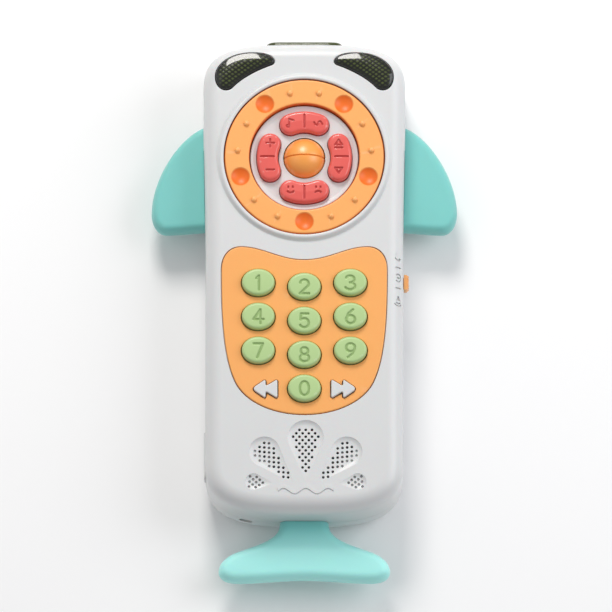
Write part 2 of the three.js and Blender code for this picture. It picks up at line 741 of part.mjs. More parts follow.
function makeKeyMembrane() {
  const half = Math.min(columnPitch + keyWidth / 2 + 1, switchFaceX - switchDepth - seatGap);
  const high = firstRow + keyDepth / 2 + 1;
  const low = skipY - keyDepth / 2 - 1;
  let sheet = prism(roundedRect(-half, half, low, high, 4), boardTop, boardTop + 1.2);
  const spots = [...keys.map(({ x, y }) => [x, y]), [-skipOffset, skipY], [skipOffset, skipY]];
  spots.forEach(([x, y]) => {
    sheet = sheet.add(cylinder(x, y, 2.6, boardTop + 0.6, membraneTopZ, 8));
  });
  return sheet;
}

// ---------------------------------------------------------------- lenses and soft parts
function makeEyeLens(side) {
  return above(prism(eyeOutline(side), innerFaceZ - 4, faceZ + eyeLensHeight, 1, 2), innerFaceZ - 1.5);
}

function makeTopLens() {
  const half = topLensWidth / 2;
  const shape = roundedRect(-half, half, topLensZ - topLensHeight / 2, topLensZ + topLensHeight / 2, 3);
  const geometry = new THREE.ExtrudeGeometry(shape, {
    depth: 2 * wall + topLensProud - 1.6,
    bevelThickness: 0.8,
    bevelSize: 0.8,
    bevelOffset: -0.8,
    bevelSegments: 1,
    curveSegments: 3,
  });
  return solid(geometry.rotateX(Math.PI / 2).translate(0, headY + topLensProud - 0.8, 0));
}

function makeFlipper(side) {
  const tab = flipperTabSize();
  const half = flipperThickness / 2;
  let blade = prism(flipperOutline(), flipperZ - half, flipperZ + half, 2.4, 2, 5);
  blade = blade.subtract(prism(caseOutline(-seatGap), 0, bodyHeight));
  blade = blade.add(box(
    waistHalf - 2 * wall + 1, halfWidthAt(tab.high) + 3.6, tab.low, tab.high, tab.bottom, tab.top));
  blade = blade.subtract(box(-10, waistHalf - wall, -60, 60, 0, 30));
  const grip = box(waistHalf - wall - 2.4, waistHalf - wall - 0.8, tab.low, tab.high, tab.bottom, tab.top);
  const neck = box(
    waistHalf - wall - 2, waistHalf, tab.low + 1, tab.high - 1, tab.bottom + 0.5, tab.top - 0.5);
  blade = blade.add(grip).add(neck);
  return side > 0 ? blade : blade.scale([-1, 1, 1]);
}

function makeTail() {
  const tab = tailTabSize();
  let fluke = prism(tailOutline(), tailZ - tailThickness / 2, tailZ + tailThickness / 2, 2, 2, 4);
  fluke = fluke.subtract(prism(caseOutline(-seatGap), 0, bodyHeight));
  const neck = box(-tab.half, tab.half, tailEndY - 3, tailEndY + 2 * wall + 1.4, tab.bottom, tab.top);
  return fluke.add(neck);
}

// ---------------------------------------------------------------- switch, socket, board, speaker
function makeSwitchKnob() {
  const outside = waistHalf + 0.25;
  const cap = box(outside, waistHalf + switchProud, switchY - switchLength / 2, switchY + switchLength / 2,
    switchZ - 2.4, switchZ + 2.4);
  const stem = box(waistHalf - wall - switchStem, outside + 0.2, switchY - switchLength / 2 + 1,
    switchY + switchLength / 2 - 1, switchZ - 1.6, switchZ + 1.6);
  let knob = cap.add(stem);
  [-2, -1, 0, 1, 2].forEach((ridge) => {
    const y = switchY + ridge * ridgePitch;
    knob = knob.subtract(box(waistHalf + switchProud - 0.35, waistHalf + 9, y - 0.25, y + 0.25, 0, 40));
  });
  return knob;
}

function makeSwitchBody() {
  return box(switchFaceX - switchDepth, switchFaceX, switchY - 6, switchY + 6, boardTop, switchZ + 2);
}

function makePortCover() {
  const inner = -waistHalf + coverThickness - portProud;
  const outer = -waistHalf - portProud;
  const low = portY - portLength / 2;
  const hingeY = portY + portLength / 2 - coverThickness / 2;
  const plate = box(outer, inner, low, hingeY, portZ - portHeight / 2, portZ + portHeight / 2);
  const barrel = cylinder((inner + outer) / 2, hingeY, coverThickness / 2,
    portZ - portHeight / 2, portZ + portHeight / 2, 16);
  return plate.add(barrel);
}

function makeChargeSocket() {
  const face = -waistHalf + wall + 0.3;
  return box(face, face + 7.3, portY - 4.5, portY + 4.5, boardTop, boardTop + 3.2)
    .subtract(box(face - 1, face + 5.5, portY - 4.1, portY + 4.1, boardTop + 0.4, boardTop + 2.8));
}

function makeMainBoard() {
  const half = waistHalf - wall - 4.5;
  const low = portY - 8;
  const high = headY - 9;
  let board = prism(roundedRect(-half, half, low, high, 8), boardTop - boardThickness, boardTop);
  board = board.subtract(cylinder(0, speakerY, speakerRadius + 1, 0, 40, 24));
  board = board.subtract(box(-speakerRadius - 1, speakerRadius + 1, low - 5, speakerY, 0, 40));
  bosses.forEach(([x, y]) => {
    board = board.subtract(cylinder(x, y, bossRadius + 0.5, 0, 40, 8));
  });
  return board;
}

function makeLed(x, y) {
  const height = 4;
  return turned([[0, 0], [1.5, 0], [1.5, height - 1.5], [1.1, height - 0.5], [0, height]], 10)
    .translate([x, y, boardTop]);
}

function makeSpeaker() {
  const top = innerFaceZ;
  const rim = speakerRadius;
  const frame = turned([
    [8, top - 6], [9, top - 6], [rim - 2, top - 2.6], [rim, top - 2.6], [rim, top],
    [rim - 1.6, top], [rim - 1.6, top - 1.6], [8, top - 5],
  ], 28);
  const cone = turned([
    [0, top - 3.4], [3.4, top - 4.2], [rim - 2.6, top - 1.2], [rim - 2, top - 1.2], [rim - 2, top - 0.8],
    [rim - 3, top - 0.8], [3.4, top - 3.2], [0, top - 2.4],
  ], 28);
  const magnet = turned([[0, top - 9.4], [7.2, top - 9.4], [7.2, top - 5.4], [0, top - 5.4]], 24);
  return [frame, cone, magnet].map((body) => body.translate([0, speakerY, 0]));
}

// ---------------------------------------------------------------- materials
const finish = (color, roughness, metalness = 0, extra = {}) => ({ color, roughness, metalness, ...extra });
const finishes = {
  white: finish(0xe9eae8, 0.42),
  orange: finish(0xf9b168, 0.4),
  ball: finish(0xf79632, 0.2),
  red: finish(0xe96464, 0.45),
  green: finish(0x9bcd87, 0.42),
  teal: finish(0x76c8be, 0.6),
  lens: finish(0x2d3219, 0.12, 0, { transparent: true, opacity: 0.85 }),
  board: finish(0x1f6b45, 0.5),
  rubber: finish(0xb9bdbb, 0.75),
  steel: finish(0xb4b6b8, 0.35, 0.9),
  black: finish(0x22252a, 0.5),
  led: finish(0xf3f3ea, 0.2),
  wrap: finish(0x3f6ea8, 0.45),
  paper: finish(0x2c2a28, 0.8),
};

// ---------------------------------------------------------------- assembly
const phone = new THREE.Group();

function place(name, body, look) {
  const mesh = new THREE.Mesh(geometryOf(body), new THREE.MeshStandardMaterial(finishes[look]));
  mesh.name = name;
  phone.add(mesh);
  return mesh;
}

place('front_shell', makeFrontShell(), 'white');
place('back_shell', makeBackShell(), 'white');
place('battery_door', makeBatteryDoor(), 'white');
place('battery_door_screw', makeScrew(screwHead, 1, 1.1, 5.4), 'steel').position.set(0, doorScrewY, 0.5);
place('battery_pack', prism(
  roundedRect(-packWidth / 2, packWidth / 2, packY - packLength / 2, packY + packLength / 2, 2),
  doorThickness + 0.7, doorThickness + 0.7 + packHeight, 1, 1), 'wrap');
bosses.forEach(([x, y], index) => {
  const screw = makeScrew(screwHead, 2, screwShank, 13);
  place(`shell_screw_${index + 1}`, screw, 'steel').position.set(x, y, bossFootZ - 7);
});

place('dial_ring', makeDialRing(), 'orange');
place('dial_retainer', makeDialRetainer(), 'rubber');
lugs.forEach(([x, y], index) => {
  const screw = makeScrew(1.9, 1.3, 0.9, 5.2);
  place(`retainer_screw_${index + 1}`, screw, 'steel').position.set(x, y, retainerZ - 1.3);
});
place('button_dish', makeButtonDish(), 'white');
rockers.forEach(({ name, direction }) => place(name, makeRocker(direction), 'red'));
place('ball_half_head', makeBallHalf(1), 'ball');
place('ball_half_tail', makeBallHalf(-1), 'ball');
place('ball_axle', rodAlongX(-ballRadius - 1, ballRadius + 1, 0, ballZ, axleRadius), 'steel');
place('ball_cradle', makeBallCradle(), 'rubber');
place('rocker_membrane', makeRockerMembrane(), 'rubber');

place('keypad_panel', makeKeypadPanel(), 'orange');
keys.forEach(({ number, x, y }) => place(`key_${number}`, makeKey(), 'green').position.set(x, y, 0));
place('skip_back', makeSkipButton(-1), 'white');
place('skip_forward', makeSkipButton(1), 'white');
place('key_membrane', makeKeyMembrane(), 'rubber');

place('eye_lens_left', makeEyeLens(-1), 'lens');
place('eye_lens_right', makeEyeLens(1), 'lens');
place('top_lens', makeTopLens(), 'lens');
place('flipper_left', makeFlipper(-1), 'teal');
place('flipper_right', makeFlipper(1), 'teal');
place('tail', makeTail(), 'teal');

place('switch_knob', makeSwitchKnob(), 'orange');
place('switch_body', makeSwitchBody(), 'black');
place('port_cover', makePortCover(), 'white');
place('charge_socket', makeChargeSocket(), 'steel');
place('main_board', makeMainBoard(), 'board');
place('eye_led_left', makeLed(-24, headY - 12), 'led');
place('eye_led_right', makeLed(24, headY - 12), 'led');
place('top_led', makeLed(0, headY - 12), 'led');
const [speakerFrame, speakerCone, speakerMagnet] = makeSpeaker();
place('speaker_frame', speakerFrame, 'steel');
place('speaker_cone', speakerCone, 'paper');
place('speaker_magnet', speakerMagnet, 'steel');

const assembly = new THREE.Group();
assembly.name = 'toy_phone';
phone.position.y = -(headY + topLensProud + tailEndY - tailReach) / 2;
assembly.add(phone);

export default assembly;
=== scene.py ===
"""Visual model of a whale-shaped toy phone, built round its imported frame.

Shapes are worked out in millimetres about the dial's centre and turned into metres in the frame's
axes when each mesh is made: +X right, +Y towards the head, +Z out of the face.
"""
import logging
import math
from dataclasses import dataclass, field
from enum import Enum
from typing import Callable, Iterable, Sequence

import bmesh
import bpy
import numpy as np
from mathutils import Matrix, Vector
from mathutils.geometry import delaunay_2d_cdt


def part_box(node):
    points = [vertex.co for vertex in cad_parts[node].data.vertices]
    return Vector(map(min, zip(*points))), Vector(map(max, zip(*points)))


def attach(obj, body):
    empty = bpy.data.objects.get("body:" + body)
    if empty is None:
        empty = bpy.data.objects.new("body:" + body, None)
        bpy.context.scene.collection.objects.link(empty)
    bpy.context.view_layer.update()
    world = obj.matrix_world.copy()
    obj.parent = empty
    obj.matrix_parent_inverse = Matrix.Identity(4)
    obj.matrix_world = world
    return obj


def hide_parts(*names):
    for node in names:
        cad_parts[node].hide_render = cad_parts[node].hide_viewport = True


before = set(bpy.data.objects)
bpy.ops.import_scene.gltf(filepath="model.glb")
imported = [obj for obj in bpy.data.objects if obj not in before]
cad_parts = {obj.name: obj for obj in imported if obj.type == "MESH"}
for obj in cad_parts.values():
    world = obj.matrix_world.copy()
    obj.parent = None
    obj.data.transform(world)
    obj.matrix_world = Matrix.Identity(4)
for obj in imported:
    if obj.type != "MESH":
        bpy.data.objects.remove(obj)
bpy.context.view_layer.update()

MM = 0.001
CLEARANCE = 0.25
SKIP_CLEARANCE = 0.35
KEY_HOLE = (6.25, 5.25)
PETAL_X = 0.5
Point = tuple[float, float]
log = logging.getLogger("toy_phone")


# ---------------------------------------------------------------- places read from the frame
def box_mm(node: str) -> tuple[np.ndarray, np.ndarray]:
    """Gives a node's box in millimetres about the dial's centre.

    Args:
        node: The CAD node's name.

    Returns:
        The lowest and the highest corner.
    """
    low, high = (np.array(corner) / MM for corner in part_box(node))
    shift = np.array([*DIAL, 0.0]) / MM
    return low - shift, high - shift


def middle(node: str) -> np.ndarray:
    """Gives the middle of a node's box in millimetres about the dial's centre."""
    low, high = box_mm(node)
    return (low + high) / 2


_ring_low, _ring_high = (np.array(corner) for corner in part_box("dial_ring"))
DIAL = (_ring_low[:2] + _ring_high[:2]) / 2


# ---------------------------------------------------------------- solids
@dataclass
class Solid:
    """A closed surface held as points in millimetres and faces."""

    points: np.ndarray
    faces: list[tuple[int, ...]]

    def moved(self, x: float = 0.0, y: float = 0.0, z: float = 0.0) -> "Solid":
        """Gives a copy shifted by x, y and z."""
        return Solid(self.points + np.array([x, y, z]), self.faces)

    def mirrored(self) -> "Solid":
        """Gives a copy mirrored across the phone's middle plane."""
        return Solid(self.points * np.array([-1.0, 1.0, 1.0]), [face[::-1] for face in self.faces])

    def joined(self, *others: "Solid") -> "Solid":
        """Gives one solid that holds this one and the others, each still closed."""
        points, faces = self.points, list(self.faces)
        for other in others:
            start = len(points)
            points = np.vstack([points, other.points])
            faces += [tuple(start + corner for corner in face) for face in other.faces]
        return Solid(points, faces)


def together(solids: Sequence[Solid]) -> Solid:
    """Gives one solid that holds all the given ones."""
    return solids[0].joined(*solids[1:])


def loft(rings: Sequence[np.ndarray]) -> Solid:
    """Skins a stack of rings with the same number of points, and caps both ends.

    Args:
        rings: Arrays of points, one row each, lowest ring first and counter-clockwise from above.

    Returns:
        The closed solid.
    """
    count = len(rings[0])
    faces: list[tuple[int, ...]] = [tuple(range(count))[::-1]]
    for level in range(len(rings) - 1):
        low, high = level * count, (level + 1) * count
        faces += [
            (low + i, low + (i + 1) % count, high + (i + 1) % count, high + i) for i in range(count)
        ]
    faces.append(tuple(range((len(rings) - 1) * count, len(rings) * count)))
    return Solid(np.vstack(rings), faces)


def lathe(profile: Sequence[Point], segments: int = 128) -> Solid:
    """Turns a profile of (radius, height) about the Z axis.

    Args:
        profile: Counter-clockwise points; a first and last radius of zero close on the axis.
        segments: How many flats make the round.

    Returns:
        The closed solid.
    """
    closed_on_axis = profile[0][0] == 0.0
    rows = list(profile[1:-1]) if closed_on_axis else list(profile)
    angle = np.linspace(0, 2 * math.pi, segments, endpoint=False)
    points = np.vstack([
        np.column_stack([r * np.cos(angle), r * np.sin(angle), np.full(segments, z)]) for r, z in rows
    ])
    faces: list[tuple[int, ...]] = []
    spans = len(rows) - 1 if closed_on_axis else len(rows)
    for row in range(spans):
        low, high = row * segments, ((row + 1) % len(rows)) * segments
        faces += [
            (low + i, low + (i + 1) % segments, high + (i + 1) % segments, high + i)
            for i in range(segments)
        ]
    if closed_on_axis:
        bottom, top, last = len(points), len(points) + 1, (len(rows) - 1) * segments
        points = np.vstack([points, [[0, 0, profile[0][1]], [0, 0, profile[-1][1]]]])
        faces += [(bottom, (i + 1) % segments, i) for i in range(segments)]
        faces += [(last + i, last + (i + 1) % segments, top) for i in range(segments)]
    return Solid(points, faces)


def cylinder(x: float, y: float, radius: float, low: float, high: float, segments: int = 24) -> Solid:
    """Gives an upright cylinder between two heights."""
    return lathe([(0.0, low), (radius, low), (radius, high), (0.0, high)], segments).moved(x, y)


def sphere(x: float, y: float, z: float, radius: float, segments: int = 32) -> Solid:
    """Gives a sphere about a centre."""
    turn = np.linspace(-math.pi / 2, math.pi / 2, segments // 2 + 1)
    profile = [(radius * math.cos(a), radius * math.sin(a)) for a in turn]
    profile[0], profile[-1] = (0.0, -radius), (0.0, radius)
    return lathe(profile, segments).moved(x, y, z)


def block(low: Sequence[float], high: Sequence[float], edge: float = 0.0) -> Solid:
    """Gives a box between two corners whose upright edges are rounded by edge."""
    corners = [(low[0], low[1]), (high[0], low[1]), (high[0], high[1]), (low[0], high[1])]
    outline = round_corners(corners, edge, 6) if edge > 0 else np.array(corners)
    return prism(outline, low[2], high[2], min(edge, (high[2] - low[2]) * 0.45) * 0.6)


# ---------------------------------------------------------------- outlines
def round_corners(corners: Sequence[Point], radius: float, steps: int = 6, closed: bool = True) -> np.ndarray:
    """Rounds the corners of a polygon or of an open profile.

    Args:
        corners: The sharp corners in order.
        radius: How far back along each edge the rounding starts.
        steps: How many spans make each rounded corner.
        closed: False leaves the first and the last corner sharp.

    Returns:
        The rounded outline.
    """
    points = np.array(corners, dtype=float)
    count, rounded = len(points), []
    for i, corner in enumerate(points):
        if not closed and i in (0, count - 1):
            rounded.append(corner)
            continue
        before, after = points[i - 1] - corner, points[(i + 1) % count] - corner
        starts = [arm * min(radius / np.linalg.norm(arm), 0.48) + corner for arm in (before, after)]
        for step in range(steps + 1):
            t = step / steps
            rounded.append((1 - t) ** 2 * starts[0] + 2 * t * (1 - t) * corner + t ** 2 * starts[1])
    return np.array(rounded)


def bezier(start: Point, spans: Sequence[Sequence[Point]], steps: int = 24) -> np.ndarray:
    """Follows cubic spans from a start point, without repeating the last point of a closed outline.

    Args:
        start: The first point.
        spans: Two control points and an end point for each span.
        steps: How many points make each span.

    Returns:
        The points along the path.
    """
    path, here = [], np.array(start, dtype=float)
    for first, second, end in (np.array(span, dtype=float) for span in spans):
        for t in np.arange(steps) / steps:
            path.append((1 - t) ** 3 * here + 3 * t * (1 - t) ** 2 * first + 3 * t ** 2 * (1 - t) * second
                        + t ** 3 * end)
        here = end
    if np.linalg.norm(here - np.array(start)) > 1e-6:
        path.append(here)
    return np.array(path)


def outset(outline: np.ndarray, amount: float | np.ndarray) -> np.ndarray:
    """Moves a counter-clockwise outline outward along its normals, or inward if amount is negative."""
    along = np.roll(outline, -1, axis=0) - np.roll(outline, 1, axis=0)
    normal = np.column_stack([along[:, 1], -along[:, 0]])
    normal /= np.maximum(np.linalg.norm(normal, axis=1, keepdims=True), 1e-9)
    return outline + normal * (np.asarray(amount).reshape(-1, 1) if np.ndim(amount) else amount)


def at_height(outline: np.ndarray, height: float | np.ndarray) -> np.ndarray:
    """Lifts a flat outline to a height, or to one height for each point."""
    return np.column_stack([outline, np.broadcast_to(height, len(outline))])


def quarter_turn(steps: int) -> list[float]:
    """Gives angles from zero to a right angle in equal steps."""
    return [math.pi / 2 * i / steps for i in range(steps + 1)]


def rounded_low(outline: np.ndarray, edge: float, low: float, turns: Sequence[float]) -> list[np.ndarray]:
    """Gives the rings that round the lower rim of an outline."""
    return [at_height(outset(outline, -edge * (1 - math.sin(a))), low + edge * (1 - math.cos(a)))
            for a in turns]


def rounded_high(outline: np.ndarray, edge: float, high: float, turns: Sequence[float]) -> list[np.ndarray]:
    """Gives the rings that round the upper rim of an outline."""
    return [at_height(outset(outline, -edge * (1 - math.cos(a))), high - edge * (1 - math.sin(a)))
            for a in turns]


def prism(outline: np.ndarray, low: float, high: float, edge: float = 0.0, steps: int = 6) -> Solid:
    """Gives an upright solid on an outline, with both of its rims rounded by edge."""
    if edge <= 0:
        return loft([at_height(outline, low), at_height(outline, high)])
    turns = quarter_turn(steps)
    return loft(rounded_low(outline, edge, low, turns) + rounded_high(outline, edge, high, turns))


def arc(x: float, y: float, rx: float, ry: float, start: float, end: float, steps: int = 20) -> np.ndarray:
    """Gives points on an elliptical arc between two angles in degrees."""
    turn = np.radians(np.linspace(start, end, steps + 1))
    return np.column_stack([x + rx * np.cos(turn), y + ry * np.sin(turn)])


def groove(spots: np.ndarray, strokes: Iterable[np.ndarray], half_width: float, depth: float) -> np.ndarray:
    """Gives how deep a round-bottomed engraving is at each spot.

    Args:
        spots: Points on the surface, in plan.
        strokes: The lines that the tool follows, in plan.
        half_width: Half the width of the cut.
        depth: Its depth on the line.

    Returns:
        One depth for each spot.
    """
    nearest = np.full(len(spots), np.inf)
    for stroke in strokes:
        stroke = np.array(stroke, dtype=float)
        for start, end in zip(stroke[:-1], stroke[1:]):
            span = end - start
            along = np.clip(((spots - start) @ span) / max(span @ span, 1e-12), 0, 1)
            nearest = np.minimum(nearest, np.linalg.norm(spots - start - along[:, None] * span, axis=1))
    fall = np.clip((half_width - nearest) / (half_width * 0.75), 0, 1)
    return depth * fall * fall * (3 - 2 * fall)


# ---------------------------------------------------------------- meshes and booleans
class Cut(Enum):
    """How a second solid changes the first."""

    REMOVE = "DIFFERENCE"
    ADD = "UNION"


def make(name: str, solid: Solid, sharp_deg: float = 38.0) -> bpy.types.Object:
    """Makes a shaded object from a solid, in metres in the frame's axes.

    Args:
        name: The piece's name.
        solid: Its surface in millimetres.
        sharp_deg: Edges that turn by more than this stay crisp.

    Returns:
        The new object.
    """
    mesh = bpy.data.meshes.new(name)
    places = solid.points * MM + np.array([*DIAL, 0.0])
    mesh.from_pydata(places.tolist(), [], solid.faces)
    mesh.update()
    piece = bpy.data.objects.new(name, mesh)
    bpy.context.scene.collection.objects.link(piece)
    tidy(piece, sharp_deg)
    return piece


def tidy(piece: bpy.types.Object, sharp_deg: float = 38.0) -> None:
    """Merges doubled points, turns every face outward and marks the crisp edges of a piece.

    Args:
        piece: The piece to work on.
        sharp_deg: The angle in degrees past which an edge stays crisp.
    """
    work = bmesh.new()
    work.from_mesh(piece.data)
    bmesh.ops.remove_doubles(work, verts=work.verts, dist=1e-7)
    bmesh.ops.dissolve_degenerate(work, edges=work.edges, dist=1e-8)
    bmesh.ops.recalc_face_normals(work, faces=work.faces)
    work.to_mesh(piece.data)
    work.free()
    piece.data.shade_smooth()
    piece.data.set_sharp_from_angle(angle=math.radians(sharp_deg))


def change(piece: bpy.types.Object, tool: Solid, how: Cut = Cut.REMOVE) -> None:
    """Cuts a tool out of a piece, or joins it on, and keeps the result in the piece's own mesh.

    Args:
        piece: The piece to work on.
        tool: The solid to cut out or to join on.
        how: Whether the tool is cut out or joined on.
    """
    cutter = make(f"{piece.name}_tool", tool)
    step = piece.modifiers.new("shape", "BOOLEAN")
    step.operation, step.object, step.solver = how.value, cutter, "MANIFOLD"
    graph = bpy.context.evaluated_depsgraph_get()
    result = bpy.data.meshes.new_from_object(piece.evaluated_get(graph))
    piece.modifiers.clear()
    before = len(piece.data.polygons)
    piece.data = result
    if how is Cut.REMOVE and len(result.polygons) == before:
        log.warning("a cut changed nothing on %s", piece.name)
    bpy.data.objects.remove(cutter)
    tidy(piece)


def settle_normals(piece: bpy.types.Object) -> None:
    """Keeps large flats flat next to fine rounds when a piece is shaded."""
    step = piece.modifiers.new("shading", "WEIGHTED_NORMAL")
    step.keep_sharp = True
    step.weight = 80


def finish_piece(piece: bpy.types.Object, body: str, slot: str, look: bpy.types.Material,
                 *nodes: str, settle: bool = True) -> bpy.types.Object:
    """Dresses a piece, makes it ride on its body and stand for its CAD nodes.

    Args:
        piece: The finished piece.
        body: The body that carries it.
        slot: Not used.
        look: Its material.
        *nodes: The CAD nodes that it replaces.
        settle: Whether to weight its normals by face area.

    Returns:
        The piece.
    """
    piece.data.materials.clear()
    piece.data.materials.append(look)
    if settle:
        settle_normals(piece)
    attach(piece, body)
    if nodes:
        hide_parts(*nodes)
    log.info("%s rides on %s with %d faces", piece.name, body, len(piece.data.polygons))
    return piece


# ---------------------------------------------------------------- shared surface effects
def linear(red: int, green: int, blue: int) -> tuple[float, float, float, float]:
    """Turns a screen colour of 0 to 255 into scene values."""
    def channel(value: int) -> float:
        """Gives one channel as a linear share."""
        share = value / 255
        return share / 12.92 if share <= 0.04045 else ((share + 0.055) / 1.055) ** 2.4
    return channel(red), channel(green), channel(blue), 1.0


def new_group(name: str, inputs: dict[str, float | tuple], outputs: dict[str, str]) -> bpy.types.NodeTree:
    """Starts a shader node group with named sockets.

    Args:
        name: The group's name.
        inputs: Each input's name and default; a tuple makes a colour.
        outputs: Each output's name and socket type.

    Returns:
        The group, holding its input and output nodes.
    """
    group = bpy.data.node_groups.new(name, "ShaderNodeTree")
    for label, value in inputs.items():
        kind = "NodeSocketColor" if isinstance(value, tuple) else "NodeSocketFloat"
        socket = group.interface.new_socket(name=label, in_out="INPUT", socket_type=kind)
        socket.default_value = value
    for label, kind in outputs.items():
        group.interface.new_socket(name=label, in_out="OUTPUT", socket_type=kind)
    group.nodes.new("NodeGroupInput").name = "in"
    group.nodes.new("NodeGroupOutput").name = "out"
    return group


def node(tree: bpy.types.NodeTree, kind: str, links: dict | None = None, **settings) -> bpy.types.Node:
    """Adds a node, sets its properties and fills its inputs.

    Args:
        tree: The material's or group's node tree.
        kind: The node's type.
        links: Input name or number to a value or an output socket.
        **settings: The node's properties.

    Returns:
        The node.
    """
    made = tree.nodes.new(kind)
    for label, value in settings.items():
        setattr(made, label, value)
    for label, value in (links or {}).items():
        if isinstance(value, bpy.types.NodeSocket):
            tree.links.new(value, made.inputs[label])
        else:
            made.inputs[label].default_value = value
    return made


def build_moulded_group() -> bpy.types.NodeTree:
    """Builds the moulded surface: fine grain, slow tone drift and uneven gloss.

    Returns:
        The node group.
    """
    group = new_group(
        "moulded_surface",
        {"Color": (0.8, 0.8, 0.8, 1.0), "Roughness": 0.4, "Grain Scale": 2500.0, "Tone Drift": 0.03,
         "Gloss Drift": 0.06},
        {"Color": "NodeSocketColor", "Roughness": "NodeSocketFloat", "Height": "NodeSocketFloat"})
    given, out = group.nodes["in"].outputs, group.nodes["out"]
    place = node(group, "ShaderNodeTexCoord").outputs["Object"]
    grain = node(group, "ShaderNodeTexNoise", {"Vector": place, "Scale": given["Grain Scale"], "Detail": 3.0})
    drift = node(group, "ShaderNodeTexNoise", {"Vector": place, "Scale": 38.0, "Detail": 2.0})
    centred = node(group, "ShaderNodeMath", {0: drift.outputs["Fac"], 1: 0.5}, operation="SUBTRACT")
    tone = node(group, "ShaderNodeMath", {0: centred.outputs[0], 1: given["Tone Drift"]},
                operation="MULTIPLY")
    value = node(group, "ShaderNodeMath", {0: tone.outputs[0], 1: 1.0}, operation="ADD")
    shade = node(group, "ShaderNodeHueSaturation", {"Value": value.outputs[0], "Color": given["Color"]})
    gloss = node(group, "ShaderNodeMath", {0: centred.outputs[0], 1: given["Gloss Drift"],
                                           2: given["Roughness"]},
                 operation="MULTIPLY_ADD")
    group.links.new(shade.outputs["Color"], out.inputs["Color"])
    group.links.new(gloss.outputs[0], out.inputs["Roughness"])
    group.links.new(grain.outputs["Fac"], out.inputs["Height"])
    return group


def build_edge_group() -> bpy.types.NodeTree:
    """Builds handling wear: edges rub paler and hollows hold a little dust.

    Returns:
        The node group.
    """
    group = new_group(
        "handled_edges", {"Color": (0.8, 0.8, 0.8, 1.0), "Rub": 0.2, "Dust": 0.2},
        {"Color": "NodeSocketColor", "Mask": "NodeSocketFloat"})
    given, out = group.nodes["in"].outputs, group.nodes["out"]
    form = node(group, "ShaderNodeNewGeometry").outputs["Pointiness"]
    place = node(group, "ShaderNodeTexCoord").outputs["Object"]
    breakup = node(group, "ShaderNodeTexNoise", {"Vector": place, "Scale": 260.0, "Detail": 4.0})
    raised = node(group, "ShaderNodeMapRange", {"Value": form, "From Min": 0.52, "From Max": 0.62})
    sunk = node(group, "ShaderNodeMapRange", {"Value": form, "From Min": 0.47, "From Max": 0.36})
    rub = node(group, "ShaderNodeMath", {0: raised.outputs[0], 1: breakup.outputs["Fac"]},
               operation="MULTIPLY")
    rubbed = node(group, "ShaderNodeMath", {0: rub.outputs[0], 1: given["Rub"]}, operation="MULTIPLY")
    dusty = node(group, "ShaderNodeMath", {0: sunk.outputs[0], 1: given["Dust"]}, operation="MULTIPLY")
    paler = node(group, "ShaderNodeMix", {"Factor": rubbed.outputs[0], 6: given["Color"],
                                          7: linear(255, 250, 240)},
                 data_type="RGBA")
    darker = node(group, "ShaderNodeMix", {"Factor": dusty.outputs[0], 6: paler.outputs[2],
                                           7: linear(96, 88, 80)},
                  data_type="RGBA")
    group.links.new(darker.outputs[2], out.inputs["Color"])
    group.links.new(rubbed.outputs[0], out.inputs["Mask"])
    return group


def build_facet_group() -> bpy.types.NodeTree:
    """Builds the diamond cut seen through a tinted lens, strongest away from its rim.

    Returns:
        The node group.
    """
    group = new_group(
        "diamond_back", {"Dark": (0.02, 0.03, 0.01, 1.0), "Light": (0.2, 0.25, 0.1, 1.0), "Pitch": 900.0,
                         "Rim": 1.0},
        {"Color": "NodeSocketColor", "Height": "NodeSocketFloat"})
    given, out = group.nodes["in"].outputs, group.nodes["out"]
    place = node(group, "ShaderNodeTexCoord").outputs["Object"]
    bands = []
    for turn in (0.95, -0.95):
        turned = node(group, "ShaderNodeMapping", {"Vector": place, "Rotation": (0.0, 0.0, turn)})
        wave = node(group, "ShaderNodeTexWave",
                    {"Vector": turned.outputs[0], "Scale": given["Pitch"], "Distortion": 0.25},
                    wave_type="BANDS", wave_profile="SIN")
        bands.append(wave.outputs["Fac"])
    cells = node(group, "ShaderNodeMath", {0: bands[0], 1: bands[1]}, operation="MULTIPLY")
    sparkle = node(group, "ShaderNodeTexNoise", {"Vector": place, "Scale": 900.0, "Detail": 2.0})
    lit = node(group, "ShaderNodeMath", {0: cells.outputs[0], 1: sparkle.outputs["Fac"]},
               operation="MULTIPLY")
    inner = node(group, "ShaderNodeMath", {0: lit.outputs[0], 1: given["Rim"]}, operation="MULTIPLY")
    shown = node(group, "ShaderNodeMath", {0: inner.outputs[0], 1: 2.6}, operation="MULTIPLY", use_clamp=True)
    mix = node(group, "ShaderNodeMix", {"Factor": shown.outputs[0], 6: given["Dark"], 7: given["Light"]},
               data_type="RGBA")
    group.links.new(mix.outputs[2], out.inputs["Color"])
    group.links.new(cells.outputs[0], out.inputs["Height"])
    return group


